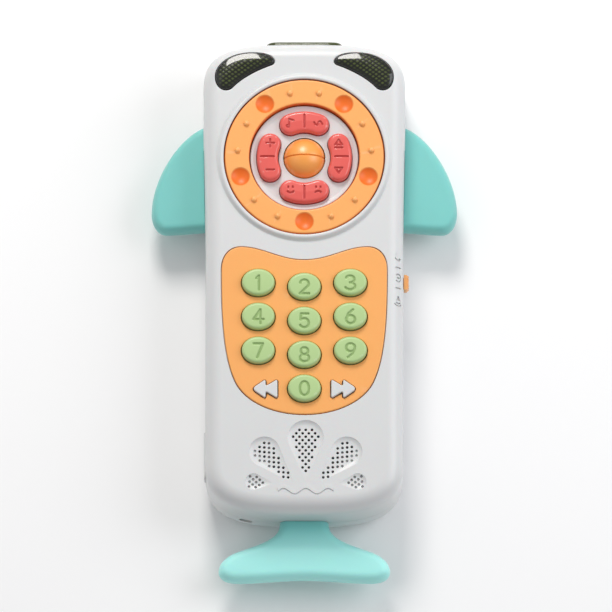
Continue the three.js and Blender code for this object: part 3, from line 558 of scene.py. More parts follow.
# ---------------------------------------------------------------- finishes
@dataclass(frozen=True)
class Finish:
    """One moulded, pressed or painted finish and the values that make it."""

    name: str
    colour: tuple[float, float, float, float]
    roughness: float = 0.42
    grain: float = 2500.0
    bump: float = 0.04
    tone: float = 0.03
    gloss_drift: float = 0.08
    rub: float = 0.15
    dust: float = 0.12
    coat: float = 0.0
    coat_roughness: float = 0.06
    sheen: float = 0.0
    metallic: float = 0.0
    glow: float = 0.0
    # Colour of painted shade, mixed in where a piece's point attribute marks its recesses and grooves
    shade_and_lens_rim: tuple[float, float, float, float] | None = None

    def build(self, groups: dict[str, bpy.types.NodeTree]) -> bpy.types.Material:
        """Builds the material.

        Args:
            groups: The shared effects by name.

        Returns:
            The material, with its Principled shader outside every group.
        """
        look = bpy.data.materials.new(self.name)
        look.use_nodes = True
        tree = look.node_tree
        shader = tree.nodes["Principled BSDF"]
        surface = node(tree, "ShaderNodeGroup", node_tree=groups["moulded"])
        surface.inputs["Color"].default_value = self.colour
        surface.inputs["Roughness"].default_value = self.roughness
        surface.inputs["Grain Scale"].default_value = self.grain
        surface.inputs["Tone Drift"].default_value = self.tone
        surface.inputs["Gloss Drift"].default_value = self.gloss_drift
        # Painted shade: the darker colour is mixed in by the point attribute that paint() stores
        if self.shade_and_lens_rim is not None:
            mask = node(tree, "ShaderNodeAttribute", attribute_name="shade_and_lens_rim")
            shade_mix = node(tree, "ShaderNodeMix",
                        {"Factor": mask.outputs["Fac"], 6: self.colour, 7: self.shade_and_lens_rim},
                        data_type="RGBA")
            tree.links.new(shade_mix.outputs[2], surface.inputs["Color"])
        edges = node(tree, "ShaderNodeGroup", node_tree=groups["edges"])
        edges.inputs["Rub"].default_value = self.rub
        edges.inputs["Dust"].default_value = self.dust
        tree.links.new(surface.outputs["Color"], edges.inputs["Color"])
        tree.links.new(edges.outputs["Color"], shader.inputs["Base Color"])
        tree.links.new(surface.outputs["Roughness"], shader.inputs["Roughness"])
        relief = node(tree, "ShaderNodeBump", {"Height": surface.outputs["Height"], "Strength": self.bump,
                                               "Distance": 0.0002})
        tree.links.new(relief.outputs["Normal"], shader.inputs["Normal"])
        shader.inputs["Metallic"].default_value = self.metallic
        shader.inputs["Coat Weight"].default_value = self.coat
        shader.inputs["Coat Roughness"].default_value = self.coat_roughness
        shader.inputs["Sheen Weight"].default_value = self.sheen
        shader.inputs["Subsurface Weight"].default_value = self.glow
        shader.inputs["Subsurface Scale"].default_value = 0.002
        return look


@dataclass(frozen=True)
class LensFinish:
    """A dark tinted lens whose cut back shows as pale diamonds inside a black rim."""

    name: str
    dark: tuple[float, float, float, float]
    light: tuple[float, float, float, float]

    def build(self, groups: dict[str, bpy.types.NodeTree]) -> bpy.types.Material:
        """Builds the lens material from the shared effects.

        Args:
            groups: The shared effects by name.

        Returns:
            The material.
        """
        look = bpy.data.materials.new(self.name)
        look.use_nodes = True
        tree = look.node_tree
        shader = tree.nodes["Principled BSDF"]
        rim = node(tree, "ShaderNodeAttribute", attribute_name="shade_and_lens_rim")
        cut = node(tree, "ShaderNodeGroup", node_tree=groups["facets"])
        cut.inputs["Dark"].default_value = self.dark
        cut.inputs["Light"].default_value = self.light
        cut.inputs["Pitch"].default_value = 240.0
        tree.links.new(rim.outputs["Fac"], cut.inputs["Rim"])
        tree.links.new(cut.outputs["Color"], shader.inputs["Base Color"])
        relief = node(tree, "ShaderNodeBump",
                      {"Height": cut.outputs["Height"], "Strength": 0.25, "Distance": 0.0003})
        tree.links.new(relief.outputs["Normal"], shader.inputs["Normal"])
        shader.inputs["Roughness"].default_value = 0.3
        shader.inputs["Specular IOR Level"].default_value = 0.2
        shader.inputs["Coat Weight"].default_value = 1.0
        shader.inputs["Coat Roughness"].default_value = 0.05
        return look


WHITE = Finish("white_abs", linear(217, 218, 218), 0.36, bump=0.05, tone=0.02, rub=0.05, dust=0.10, glow=0.08)
# ORANGE's deeper orange is painted shade in the dial's dimples, down the ring's walls and round the keypad
# panel's holes
ORANGE = Finish("orange_abs", linear(249, 174, 98), 0.40, tone=0.03, rub=0.12, shade_and_lens_rim=linear(238, 112, 24),
                glow=0.06)
BALL = Finish("orange_gloss", linear(253, 164, 70), 0.38, bump=0.01, coat=1.0, coat_roughness=0.36,
              rub=0.05, dust=0.3)
# CORAL's darker colour is painted shade in the rockers' engraved signs
CORAL = Finish("coral_abs", linear(230, 96, 88), 0.30, tone=0.03, rub=0.3, dust=0.3, coat=0.3,
               shade_and_lens_rim=linear(190, 62, 60))
# GREEN's darker colour is painted shade in the keys' engraved numerals
GREEN = Finish("leaf_green_abs", linear(180, 208, 144), 0.40, tone=0.03, rub=0.25, dust=0.3,
               shade_and_lens_rim=linear(138, 168, 102))
TEAL = Finish("teal_silicone", linear(122, 202, 196), 0.58, grain=1800.0, bump=0.08, tone=0.05, sheen=0.25,
              rub=0.0, dust=0.05, glow=0.12)
# The tail's teal is a painted-lighter copy of the flippers' teal for the light it catches; its darker colour
# is painted shade at the neck
TAIL_PAINTED_LIGHT_AND_SHADE = Finish("teal_silicone_painted_light_and_shade", linear(170, 241, 235), 0.55, grain=1800.0, bump=0.08, tone=0.05,
              sheen=0.25,
              rub=0.0, dust=0.05, glow=0.12, shade_and_lens_rim=linear(124, 208, 204))
LENS = LensFinish("smoked_green_lens", linear(6, 8, 3), linear(74, 84, 36))
# The head lens is a painted-lighter copy of the eye lenses' colours, for the light its edge catches
HEAD_LENS_PAINTED_LIGHTER = LensFinish("smoked_green_lens_painted_lighter", linear(58, 66, 24), linear(132, 146, 66))
GREY_SILICONE = Finish("grey_silicone", linear(186, 190, 188), 0.7, sheen=0.2)
INNER = Finish("inner_abs", linear(205, 203, 198), 0.5, bump=0.08)
STEEL = Finish("plated_steel", linear(190, 192, 196), 0.3, bump=0.06, gloss_drift=0.2, metallic=1.0)
BOARD = Finish("solder_mask", linear(28, 104, 66), 0.4, grain=1200.0, bump=0.1, coat=0.3)
BLACK = Finish("black_nylon", linear(38, 38, 42), 0.5, bump=0.1)
LED = Finish("clear_resin", linear(236, 236, 226), 0.12, bump=0.0, coat=0.8, glow=0.3)
PAPER = Finish("pressed_paper", linear(30, 29, 28), 0.85, grain=1500.0, bump=0.3)
WRAP = Finish("shrink_wrap", linear(58, 104, 164), 0.3, coat=0.4)


# ---------------------------------------------------------------- height nets
def from_edge(spots: np.ndarray, outline: np.ndarray) -> np.ndarray:
    """Gives the distance from each spot to the nearest side of an outline."""
    nearest = np.full(len(spots), np.inf)
    for start, end in zip(outline, np.roll(outline, -1, axis=0)):
        span = end - start
        along = np.clip(((spots - start) @ span) / max(span @ span, 1e-12), 0, 1)
        nearest = np.minimum(nearest, np.linalg.norm(spots - start - along[:, None] * span, axis=1))
    return nearest


def inside(spots: np.ndarray, outline: np.ndarray) -> np.ndarray:
    """Tells which spots lie inside an outline."""
    x, y = spots[:, 0], spots[:, 1]
    odd = np.zeros(len(spots), dtype=bool)
    for (x0, y0), (x1, y1) in zip(outline, np.roll(outline, -1, axis=0)):
        if y0 != y1:
            odd ^= ((y0 > y) != (y1 > y)) & (x < (x1 - x0) * (y - y0) / (y1 - y0) + x0)
    return odd


def evenly(outline: np.ndarray, spacing: float) -> np.ndarray:
    """Spreads points at an even spacing along a closed outline."""
    ring = np.vstack([outline, outline[:1]])
    length = np.concatenate([[0.0], np.cumsum(np.linalg.norm(np.diff(ring, axis=0), axis=1))])
    marks = np.linspace(0, length[-1], max(12, int(length[-1] / spacing)), endpoint=False)
    return np.column_stack([np.interp(marks, length, ring[:, axis]) for axis in (0, 1)])


def net(outline: np.ndarray, edge: float, pitch: float,
        steps: int = 7) -> tuple[np.ndarray, list[tuple[int, ...]]]:
    """Covers an outline with small triangles that crowd towards its edge.

    Args:
        outline: The counter-clockwise outline.
        edge: How wide the crowded band is.
        pitch: The size of the triangles elsewhere.
        steps: How many rows of points the band holds.

    Returns:
        Points in plan, the outline's own first, and the triangles.
    """
    rows = []
    for step in range(1, steps + 1):
        inset = edge * (1 - math.cos(math.pi / 2 * step / steps))
        row = outset(outline, -inset)
        rows.append(row[inside(row, outline) & (from_edge(row, outline) > inset * 0.93)])
    low, high = outline.min(axis=0), outline.max(axis=0)
    across, up = np.meshgrid(np.arange(low[0], high[0], pitch), np.arange(low[1], high[1], pitch * 0.87))
    across = across + (np.arange(up.shape[0]) % 2)[:, None] * pitch / 2
    grid = np.column_stack([across.ravel(), up.ravel()])
    grid = grid[inside(grid, outline)]
    grid = grid[from_edge(grid, outline) > edge + pitch * 0.5]
    spots = np.vstack([outline, *rows, grid])
    ring = [(i, (i + 1) % len(outline)) for i in range(len(outline))]
    flat = [Vector(spot) for spot in spots.tolist()]
    found, _, faces, origins, _, _ = delaunay_2d_cdt(flat, ring, [], 1, 1e-5)
    order = {origin: i for i, given in enumerate(origins) for origin in given}
    first = [order[i] for i in range(len(outline))]
    rest = [i for i in range(len(found)) if i not in set(first)]
    place = {old: new for new, old in enumerate(first + rest)}
    points = np.array([list(found[i]) for i in first + rest])
    return points, [tuple(place[corner] for corner in face) for face in faces]


Heights = Callable[[np.ndarray, np.ndarray], np.ndarray]


def pillow(outline: np.ndarray, top: Heights, bottom: Heights, edge: float, pitch: float) -> Solid:
    """Fills the space between two height rules over an outline.

    Args:
        outline: The counter-clockwise outline.
        top: Heights for spots in plan and their distances from the outline.
        bottom: The same for the underside.
        edge: How wide a band along the outline needs fine points.
        pitch: The size of the triangles elsewhere.

    Returns:
        The closed solid.
    """
    spots, faces = net(outline, edge, pitch)
    depth = from_edge(spots, outline)
    depth[:len(outline)] = 0.0
    upper, lower = at_height(spots, top(spots, depth)), at_height(spots, bottom(spots, depth))
    count, rim = len(spots), len(outline)
    skins = [tuple(face) for face in faces] + [tuple(count + corner for corner in face[::-1])
                                               for face in faces]
    walls = [(i, count + i, count + (i + 1) % rim, (i + 1) % rim) for i in range(rim)]
    return Solid(np.vstack([upper, lower]), skins + walls)


def quarter(depth: np.ndarray, edge: float) -> np.ndarray:
    """Gives the drop below full height of a quarter-round edge at a distance from the outline."""
    share = 1 - np.clip(depth / edge, 0, 1)
    return edge * (1 - np.sqrt(np.clip(1 - share ** 2, 0, 1)))


def level(height: float) -> Heights:
    """Gives a height rule that is flat."""
    return lambda spots, depth: np.full(len(spots), height)


def paint(piece: bpy.types.Object, rule: Callable[[np.ndarray], np.ndarray]) -> None:
    """Stores a point attribute: on most pieces how strongly painted shade shows, on a lens how strongly its
    cut back shows inside the rim.
    """
    places = np.zeros(len(piece.data.vertices) * 3)
    piece.data.vertices.foreach_get("co", places)
    spots = places.reshape(-1, 3) / MM - np.array([*DIAL, 0.0]) / MM
    layer = piece.data.attributes.new("shade_and_lens_rim", "FLOAT", "POINT")
    layer.data.foreach_set("value", np.clip(rule(spots), 0, 1).astype(np.float32))


# ---------------------------------------------------------------- shared shapes
@dataclass(frozen=True)
class PhoneShape:
    """The outlines and heights that several pieces share, in millimetres about the dial's centre."""

    head_half: float = field(default_factory=lambda: float(box_mm("front_shell")[1][0]))
    head_y: float = field(default_factory=lambda: float(box_mm("front_shell")[1][1]))
    tail_y: float = field(default_factory=lambda: float(box_mm("front_shell")[0][1]))
    face: float = field(default_factory=lambda: float(box_mm("keypad_panel")[1][2]) - 0.3)
    flipper_reach: float = field(default_factory=lambda: float(box_mm("flipper_right")[1][0]))
    flipper_low: float = field(default_factory=lambda: float(box_mm("flipper_right")[0][1]))
    fluke_low: float = field(default_factory=lambda: float(box_mm("tail")[0][1]))
    waist_half: float = 35.55
    head_crown: float = 19.0
    head_power: float = 3.3
    tail_crown: float = 21.0
    tail_power: float = 3.1
    waist_y: float = -38.35
    wall: float = 2.2
    face_wall: float = 2.5
    parting: float = 13.0
    rocker_pitch: float = 13.3
    rocker_half: float = 3.8
    rocker_sweep: float = 22.3
    tail_neck: float = 8.75
    fluke_half: float = 30.8
    flipper_top: float = 15.6

    @property
    def under_face(self) -> float:
        """Height of the inside of the face."""
        return self.face - self.face_wall

    def half_width(self, y: np.ndarray) -> np.ndarray:
        """Gives half the case's width along its length."""
        head_centre = self.head_y - self.head_crown
        t = np.clip((y - self.waist_y) / (head_centre - self.waist_y), 0, 1)
        return self.waist_half + (self.head_half - self.waist_half) * t * t * (3 - 2 * t)

    def case(self, inset: float = 0.0, spacing: float = 0.9) -> np.ndarray:
        """Gives the case's outline, drawn in by inset, from the tail round the right side.

        Args:
            inset: How far the outline is drawn in.
            spacing: The distance between points.

        Returns:
            The outline, counter-clockwise.
        """
        turn = np.linspace(0, math.pi / 2, 240)

        def corner(half: float, crown: float, power: float, centre: float, way: int) -> np.ndarray:
            """Gives a quarter of the outline."""
            return np.column_stack([half * np.cos(turn) ** (2 / power),
                                    centre + way * crown * np.sin(turn) ** (2 / power)])

        head_centre, tail_centre = self.head_y - self.head_crown, self.tail_y + self.tail_crown
        tail = corner(self.waist_half, self.tail_crown, self.tail_power, tail_centre, -1)[::-1]
        head = corner(self.head_half, self.head_crown, self.head_power, head_centre, 1)
        side_y = np.linspace(tail_centre, head_centre, 120)[1:-1]
        right = np.vstack([tail, np.column_stack([self.half_width(side_y), side_y]), head])
        right[0, 0] = right[-1, 0] = 0.0
        left = right[1:-1][::-1] * np.array([-1.0, 1.0])
        ring = evenly(np.vstack([right, left]), spacing)
        return outset(ring, -inset) if inset else ring

    def kidney(self, direction: float, grow: float = 0.0, steps: int = 20) -> np.ndarray:
        """Gives a rocker's outline, in the given direction in degrees from the dial's centre.

        Args:
            direction: Where the rocker lies, in degrees from the right.
            grow: How far the outline is grown.
            steps: How many steps each end takes.

        Returns:
            The outline, counter-clockwise.
        """
        radius = self.rocker_half + grow
        low, high = direction - self.rocker_sweep, direction + self.rocker_sweep
        ends = [(self.rocker_pitch * math.cos(math.radians(a)), self.rocker_pitch * math.sin(math.radians(a)))
                for a in (low, high)]
        outer = arc(0, 0, self.rocker_pitch + radius, self.rocker_pitch + radius, low, high, steps)
        inner = arc(0, 0, self.rocker_pitch - radius, self.rocker_pitch - radius, high, low, steps)
        far = arc(*ends[1], radius, radius, high, high + 180, steps)
        near = arc(*ends[0], radius, radius, low + 180, low + 360, steps)
        return evenly(np.vstack([outer[:-1], far[:-1], inner[:-1], near[:-1]]), 0.3)

    def panel(self, grow: float = 0.0) -> np.ndarray:
        """Gives the outline of the orange keypad panel.

        Args:
            grow: How far the outline is grown.

        Returns:
            The outline, counter-clockwise.
        """
        half, ear, dip, low = 29.75 + grow, -33.5 + grow, self.waist_y + grow, -95.7 - grow
        shoulder, haunch, haunch_y, waist = 22.6 + grow, 25.1 + grow, -82.7 - grow, -42.0
        path = bezier((0, low), [
            [(12, low), (22 + grow, -90.5 - grow), (haunch, haunch_y)],
            [(half - 0.3, -73), (half, -55), (half, waist)],
            [(half, ear - 3.5), (shoulder + 4.4, ear), (shoulder, ear)],
            [(15, ear), (9, dip), (0, dip)],
            [(-9, dip), (-15, ear), (-shoulder, ear)],
            [(-shoulder - 4.4, ear), (-half, ear - 3.5), (-half, waist)],
            [(-half, -55), (-half + 0.3, -73), (-haunch, haunch_y)],
            [(-22 - grow, -90.5 - grow), (-12, low), (0, low)],
        ])
        return evenly(path, 0.8)

    def skip(self, centre: Point, way: int, grow: float = 0.0, soften: float = 0.9) -> np.ndarray:
        """Gives a skip symbol's outline: two triangles, joined tip to base."""
        corners = [(-4.25, -3.5), (0, -0.9), (0, -3.5), (4.25, -0.5), (4.25, 0.5), (0, 3.5), (0, 0.9),
                   (-4.25, 3.5)]
        points = round_corners([(way * x, y) for x, y in corners][::way], soften, 5)
        return outset(evenly(points, 0.25), grow) + np.array(centre)

    def teardrop(self, tip: Point, angle: float, length: float, radius: float) -> np.ndarray:
        """Gives a petal's outline: a round end, drawn out to a tip."""
        centre = length - radius
        tangent = math.degrees(math.acos(radius / centre))
        round_end = arc(0, centre, radius, radius, tangent - 90, 270 - tangent, 40)
        points = np.vstack([[(0.0, 0.0)], round_end])
        turn = np.array([[math.cos(angle), -math.sin(angle)], [math.sin(angle), math.cos(angle)]])
        return evenly(points @ turn.T + np.array(tip), 0.4)

    def eye(self, side: int, grow: float = 0.0) -> np.ndarray:
        """Gives an eye's outline, between an arc about the dial and the head's corner.

        Args:
            side: 1 for the right side and -1 for the left.
            grow: How far the outline is grown.

        Returns:
            The outline, counter-clockwise.
        """
        corner_x, corner_y = self.head_half - 4.35 + grow, self.head_y - 4 + grow
        low = (self.head_half - 10.25, self.head_y - 17.35 - grow)
        high = (11.7 - grow / 2, 34.8 - grow)
        path = bezier(low, [
            [(low[0] + 2.7, low[1] - 1.85), (corner_x - 0.1, low[1]), (corner_x, low[1] + 4.25 + grow)],
            [(corner_x, corner_y - 5.6), (corner_x - 3.4, corner_y - 2.4), (corner_x - 7.7, corner_y - 1)],
            [(corner_x - 10.8, corner_y), (high[0] + 5.9, corner_y), (high[0] + 2.9, corner_y - 0.75)],
            [(high[0] - 0.1, high[1] + 3.2 + grow), (high[0] - 2.1, high[1] + 1.2), high],
            [(high[0] + 4.6, high[1] - 1.6), (low[0] - 3.6, low[1] + 4.05), low],
        ])
        return evenly(path if side > 0 else (path * np.array([-1.0, 1.0]))[::-1], 0.3)

    def flipper(self) -> np.ndarray:
        """Gives the right flipper's outline, reaching in under the case.

        Returns:
            The outline, counter-clockwise.
        """
        root, reach = self.waist_half - 6.0, self.flipper_reach
        low, top = self.flipper_low, self.flipper_top
        path = bezier((root, low + 1), [
            [(root + 8, low + 1.2), (reach - 11.4, low), (reach - 5.4, low)],
            [(reach - 2.2, low), (reach, low + 3.5), (reach, low + 7.8)],
            [(reach, -3), (reach - 10.6, top - 2.1), (self.head_half - 1.3, top + 0.5)],
            [(self.head_half - 2, top + 0.5), (root + 2, top + 0.5), (root, top + 0.5)],
        ])
        return evenly(path, 0.5)

    def tail(self) -> np.ndarray:
        """Gives the tail's outline: a neck and two flukes.

        Returns:
            The outline, counter-clockwise.
        """
        neck, half, low, top = self.tail_neck, self.fluke_half, self.fluke_low, self.tail_y + 4.0
        right = bezier((0, low + 1.1), [
            [(8, low + 1.1), (half - 14, low), (half - 6.8, low)],
            [(half - 2.8, low), (half, low + 1.4), (half, low + 4.2)],
            [(half, low + 7.2), (half - 2.6, low + 9.8), (half - 6.5, low + 11.4)],
            [(neck + 8.8, low + 14), (neck + 0.2, low + 15.8), (neck, low + 21.8)],
        ])
        right = np.vstack([right, [(neck, top)]])
        left = right[1:][::-1] * np.array([-1.0, 1.0])
        return evenly(np.vstack([right, left]), 0.5)


SHAPE = PhoneShape()
PETALS = [
    ((PETAL_X, SHAPE.tail_y + 10.8), 0.0, 22.9, 6.5),
    *[((PETAL_X + side * 4.5, SHAPE.tail_y + 10.5), -side * 0.73, 21.0, 5.6) for side in (-1, 1)],
    *[((PETAL_X + side * 11.7, SHAPE.tail_y + 10.2), -side * 1.47, 10.1, 3.05) for side in (-1, 1)],
]
KEY_SPOTS = {number: middle(f"key_{number}")[:2] for number in range(10)}
SKIP_SPOTS = {name: middle(name)[:2] for name in ("skip_back", "skip_forward")}
SCREW_SPOTS = [middle(f"shell_screw_{index}")[:2] for index in range(1, 7)]
DOOR_LOW, DOOR_HIGH = box_mm("battery_door")


def oval(centre: Sequence[float], rx: float, ry: float, steps: int = 96) -> np.ndarray:
    """Gives an ellipse about a centre."""
    return arc(centre[0], centre[1], rx, ry, 0, 360, steps)[:-1]


def rounded_box(low: Sequence[float], high: Sequence[float], radius: float) -> np.ndarray:
    """Gives a rectangle with rounded corners, in plan."""
    return evenly(round_corners([(low[0], low[1]), (high[0], low[1]), (high[0], high[1]), (low[0], high[1])],
                                radius * 1.6, 8), 0.6)


def sunk(outline: np.ndarray, floor: float, rim: float, ease: float = 0.25) -> Solid:
    """Gives a cutter with upright walls that opens a little where it meets the face.

    Args:
        outline: The cut's outline, counter-clockwise.
        floor: The height of the cut's floor.
        rim: The height of the face.
        ease: The size of the opening at the face.

    Returns:
        The cutter.
    """
    flare = [at_height(outset(outline, ease * (1 - math.cos(a))), rim - ease + ease * math.sin(a))
             for a in quarter_turn(5)]
    wide = outset(outline, ease)
    return loft([at_height(outline, floor), *flare, at_height(wide, rim + 6)])


def side_cutter(plan: np.ndarray, side: int, inner: float, outer: float) -> Solid:
    """Gives a cutter that runs along X, from an outline in (Y, height).

    Args:
        plan: The outline in (Y, height), counter-clockwise.
        side: 1 for the right side and -1 for the left.
        inner: Where it starts, as a distance from the middle plane.
        outer: Where it ends.

    Returns:
        The cutter.
    """
    return loft([np.column_stack([np.full(len(plan), x * side), plan[:, 0], plan[:, 1]])
                 for x in (inner, outer)])


def end_cutter(plan: np.ndarray, inner: float, outer: float) -> Solid:
    """Gives a cutter that runs along Y, from an outline in (X, height)."""
    return loft([np.column_stack([plan[:, 0], np.full(len(plan), y), plan[:, 1]]) for y in (inner, outer)])


# ---------------------------------------------------------------- sub-assemblies
@dataclass
class FrontCase:
    """The white front shell: face, dial rim, keypad recess, eye sockets and tail-flower grille."""

    rim_inner: float = 29.1
    rim_outer: float = 31.3
    rim_top: float = 31.4
    recess_floor: float = 28.7
    edge: float = 6.0
    petal_depth: float = 0.95
    petal_slope: float = 2.3
    hole_radius: float = 0.52
    hole_pitch: float = 2.25
    hole_row: float = 1.28
    far_petal: float = 14.2
    wave_reach: float = 10.0
    wave_y: float = 8.0
    wave_half: float = 0.55

    def build(self) -> bpy.types.Object:
        """Builds the shell.

        Returns:
            The piece.
        """
        shape = SHAPE
        shell = make("front_case", self.shell_solid(shape))
        change(shell, self.hollow(shape))
        change(shell, self.rim(shape), Cut.ADD)
        change(shell, self.bosses(shape), Cut.ADD)
        change(shell, cylinder(0, 0, self.rim_inner, shape.parting, shape.face + 6, 160))
        change(shell, sunk(shape.panel(CLEARANCE), self.recess_floor, shape.face, 0.22))
        for spot in KEY_SPOTS.values():
            change(shell, prism(oval(spot, *KEY_HOLE), shape.parting, shape.face + 2))
        for name, spot in SKIP_SPOTS.items():
            way = -1 if name == "skip_back" else 1
            change(shell, prism(shape.skip(spot, way, SKIP_CLEARANCE), shape.parting, shape.face + 2))
        for side in (-1, 1):
            change(shell, sunk(shape.eye(side, CLEARANCE), shape.under_face - 6, shape.face, 0.6))
        low, high = box_mm("top_lens")
        window = rounded_box((low[0] - CLEARANCE, low[2] - CLEARANCE),
                             (high[0] + CLEARANCE, high[2] + CLEARANCE), 3)
        change(shell, end_cutter(window, shape.head_y - 6.6, shape.head_y + 5))
        self.cut_grille(shell, shape)
        change(shell, self.wave(shape), Cut.ADD)
        self.cut_sides(shell, shape)
        return shell

    def shell_solid(self, shape: PhoneShape) -> Solid:
        """Gives the outside of the shell with its rounded face edge and the parting line's lip."""
        base, rings = shape.case(), []
        for inset, height in ((0.4, shape.parting), (0.12, shape.parting + 0.12), (0.0, shape.parting + 0.4)):
            rings.append(at_height(outset(base, -inset), height))
        return loft(rings + rounded_high(base, self.edge, shape.face, quarter_turn(16)))

    def hollow(self, shape: PhoneShape) -> Solid:
        """Gives the space inside the shell."""
        base, edge = shape.case(shape.wall, 1.5), self.edge - shape.wall
        floor = at_height(base, shape.parting - 1)
        return loft([floor, *rounded_high(base, edge, shape.under_face, quarter_turn(5))])

    def rim(self, shape: PhoneShape) -> Solid:
        """Gives the raised rim round the dial, easing out onto the face."""
        slope = [(self.rim_outer + 0.35, shape.face - 0.05), (self.rim_outer - 0.15, shape.face + 0.2),
                 (self.rim_outer - 0.55, shape.face + 0.8), (self.rim_outer - 1.05, self.rim_top - 0.12),
                 (self.rim_outer - 1.5, self.rim_top)]
        inner = [(self.rim_inner + 0.12, self.rim_top - 0.12), (self.rim_inner - 0.4, self.rim_top - 0.9)]
        profile = [(self.rim_inner - 0.4, shape.under_face), (self.rim_outer + 0.35, shape.under_face),
                   *slope, *inner]
        return lathe([tuple(point) for point in round_corners(profile, 0.5, 3)], 192)

    def bosses(self, shape: PhoneShape) -> Solid:
        """Gives the posts that the case screws bite into."""
        posts = [cylinder(x, y, 2.9, shape.parting - 5, shape.under_face + 0.4) for x, y in SCREW_SPOTS]
        return together(posts)

    def cut_grille(self, shell: bpy.types.Object, shape: PhoneShape) -> None:
        """Sinks the five petals and drills their sound holes.

        Args:
            shell: The shell that is cut.
            shape: The phone's shared sizes.
        """
        for tip, angle, length, radius in PETALS:
            axis = np.array([-math.sin(angle), math.cos(angle)])

            def floor(spots: np.ndarray, depth: np.ndarray, tip: Point = tip,
                      reach: float = length) -> np.ndarray:
                """Gives the height of the petal's floor."""
                along = np.clip((spots - np.array(tip)) @ axis / reach, 0, 1)
                fall = np.clip(depth / self.petal_slope, 0, 1)
                return shape.face - 0.03 - self.petal_depth * along * (1 - (1 - fall) ** 2)

            change(shell, pillow(shape.teardrop(tip, angle, length, radius), level(shape.face + 3), floor,
                                 1.5, 0.8))
        through, blind = [], []
        for index, (tip, angle, length, radius) in enumerate(PETALS):
            for spot, far in self.holes(tip, angle, length, radius):
                closed = (index in (1, 2) and far > 0.4 * radius) or (
                    index > 2 and abs(spot[0] - PETAL_X) > self.far_petal)
                (blind if closed else through).append(spot)
        low = shape.under_face - 1
        change(shell, self.drills(through, low, shape.face + 2))
        change(shell, self.drills(blind, shape.face - 1.5, shape.face + 2))

    def wave(self, shape: PhoneShape) -> Solid:
        """Gives the plain raised wave below the petals."""
        x = np.linspace(-self.wave_reach, self.wave_reach, 80)
        line = np.column_stack([x + PETAL_X, shape.tail_y + self.wave_y + np.cos(x * math.pi / 4)])
        crest = np.vstack([line - [0, self.wave_half], line[::-1] + [0, self.wave_half]])
        return prism(crest, shape.face - 0.4, shape.face + 0.35)

    def drills(self, spots: list[np.ndarray], low: float, high: float) -> Solid:
        """Gives a set of upright drills."""
        tools = [cylinder(x, y, self.hole_radius, low, high, 16) for x, y in spots]
        return together(tools)

    def holes(self, tip: Point, angle: float, length: float, radius: float) -> list[tuple[np.ndarray, float]]:
        """Gives a petal's holes in staggered rows, each with its distance from the petal's middle line.

        Args:
            tip: The petal's pointed end.
            angle: The petal's turn in radians.
            length: The petal's length.
            radius: The radius of the petal's round end.

        Returns:
            Each hole's place, and its distance from the petal's middle line.
        """
        turn = np.array([[math.cos(angle), -math.sin(angle)], [math.sin(angle), math.cos(angle)]])
        small = radius < 4
        pitch, step = (1.9, 1.2) if small else (self.hole_pitch, self.hole_row)
        centre, margin, found = length - radius, 0.25 * radius, []
        for row in range(int(length / step) + 1):
            up = length - 2.1 * margin - row * step
            half = radius * up / centre
            if up >= centre:
                half = math.sqrt(max(radius ** 2 - (up - centre) ** 2, 0))
            for column in range(-3, 4):
                across = (column + 0.5 * (row % 2)) * pitch
                if up > 2.0 and abs(across) < half - margin * min(1, up / centre) + 0.1:
                    out = -across if angle > 0 else across
                    found.append((turn @ np.array([across, up]) + np.array(tip), out))
        return found

    def cut_sides(self, shell: bpy.types.Object, shape: PhoneShape) -> None:
        """Cuts the switch slot, the socket and its cover's pocket, and the grips and icons beside them.

        Args:
            shell: The shell that is cut.
            shape: The phone's shared sizes.
        """
        low, high = box_mm("switch_knob")
        y, z = (low[1] + high[1]) / 2, (low[2] + high[2]) / 2
        slot = rounded_box((y - 4.05, z - 1.95), (y + 4.05, z + 1.95), 0.6)
        change(shell, side_cutter(slot, 1, shape.waist_half - 5, shape.waist_half + 5))
        change(shell, self.side_signs(shape))
        low, high = box_mm("port_cover")
        pocket = rounded_box((low[1] - CLEARANCE, low[2] - CLEARANCE),
                             (high[1] + CLEARANCE, high[2] + CLEARANCE), 0.8)
        change(shell, side_cutter(pocket, -1, shape.waist_half - 1.35, 45))
        mouth = rounded_box(((low[1] + high[1]) / 2 - 4.9, low[2] + 1.2),
                            ((low[1] + high[1]) / 2 + 4.9, high[2] - 1.2), 1.2)
        change(shell, side_cutter(mouth, -1, shape.waist_half - 5, shape.waist_half))
        for step in range(5):
            grip = rounded_box((high[1] + 6 + 1.5 * step, low[2] + 1),
                               (high[1] + 6.7 + 1.5 * step, high[2]), 0.3)
            change(shell, side_cutter(grip, -1, shape.waist_half - 0.3, 45))
        change(shell, soft_slots(shape))

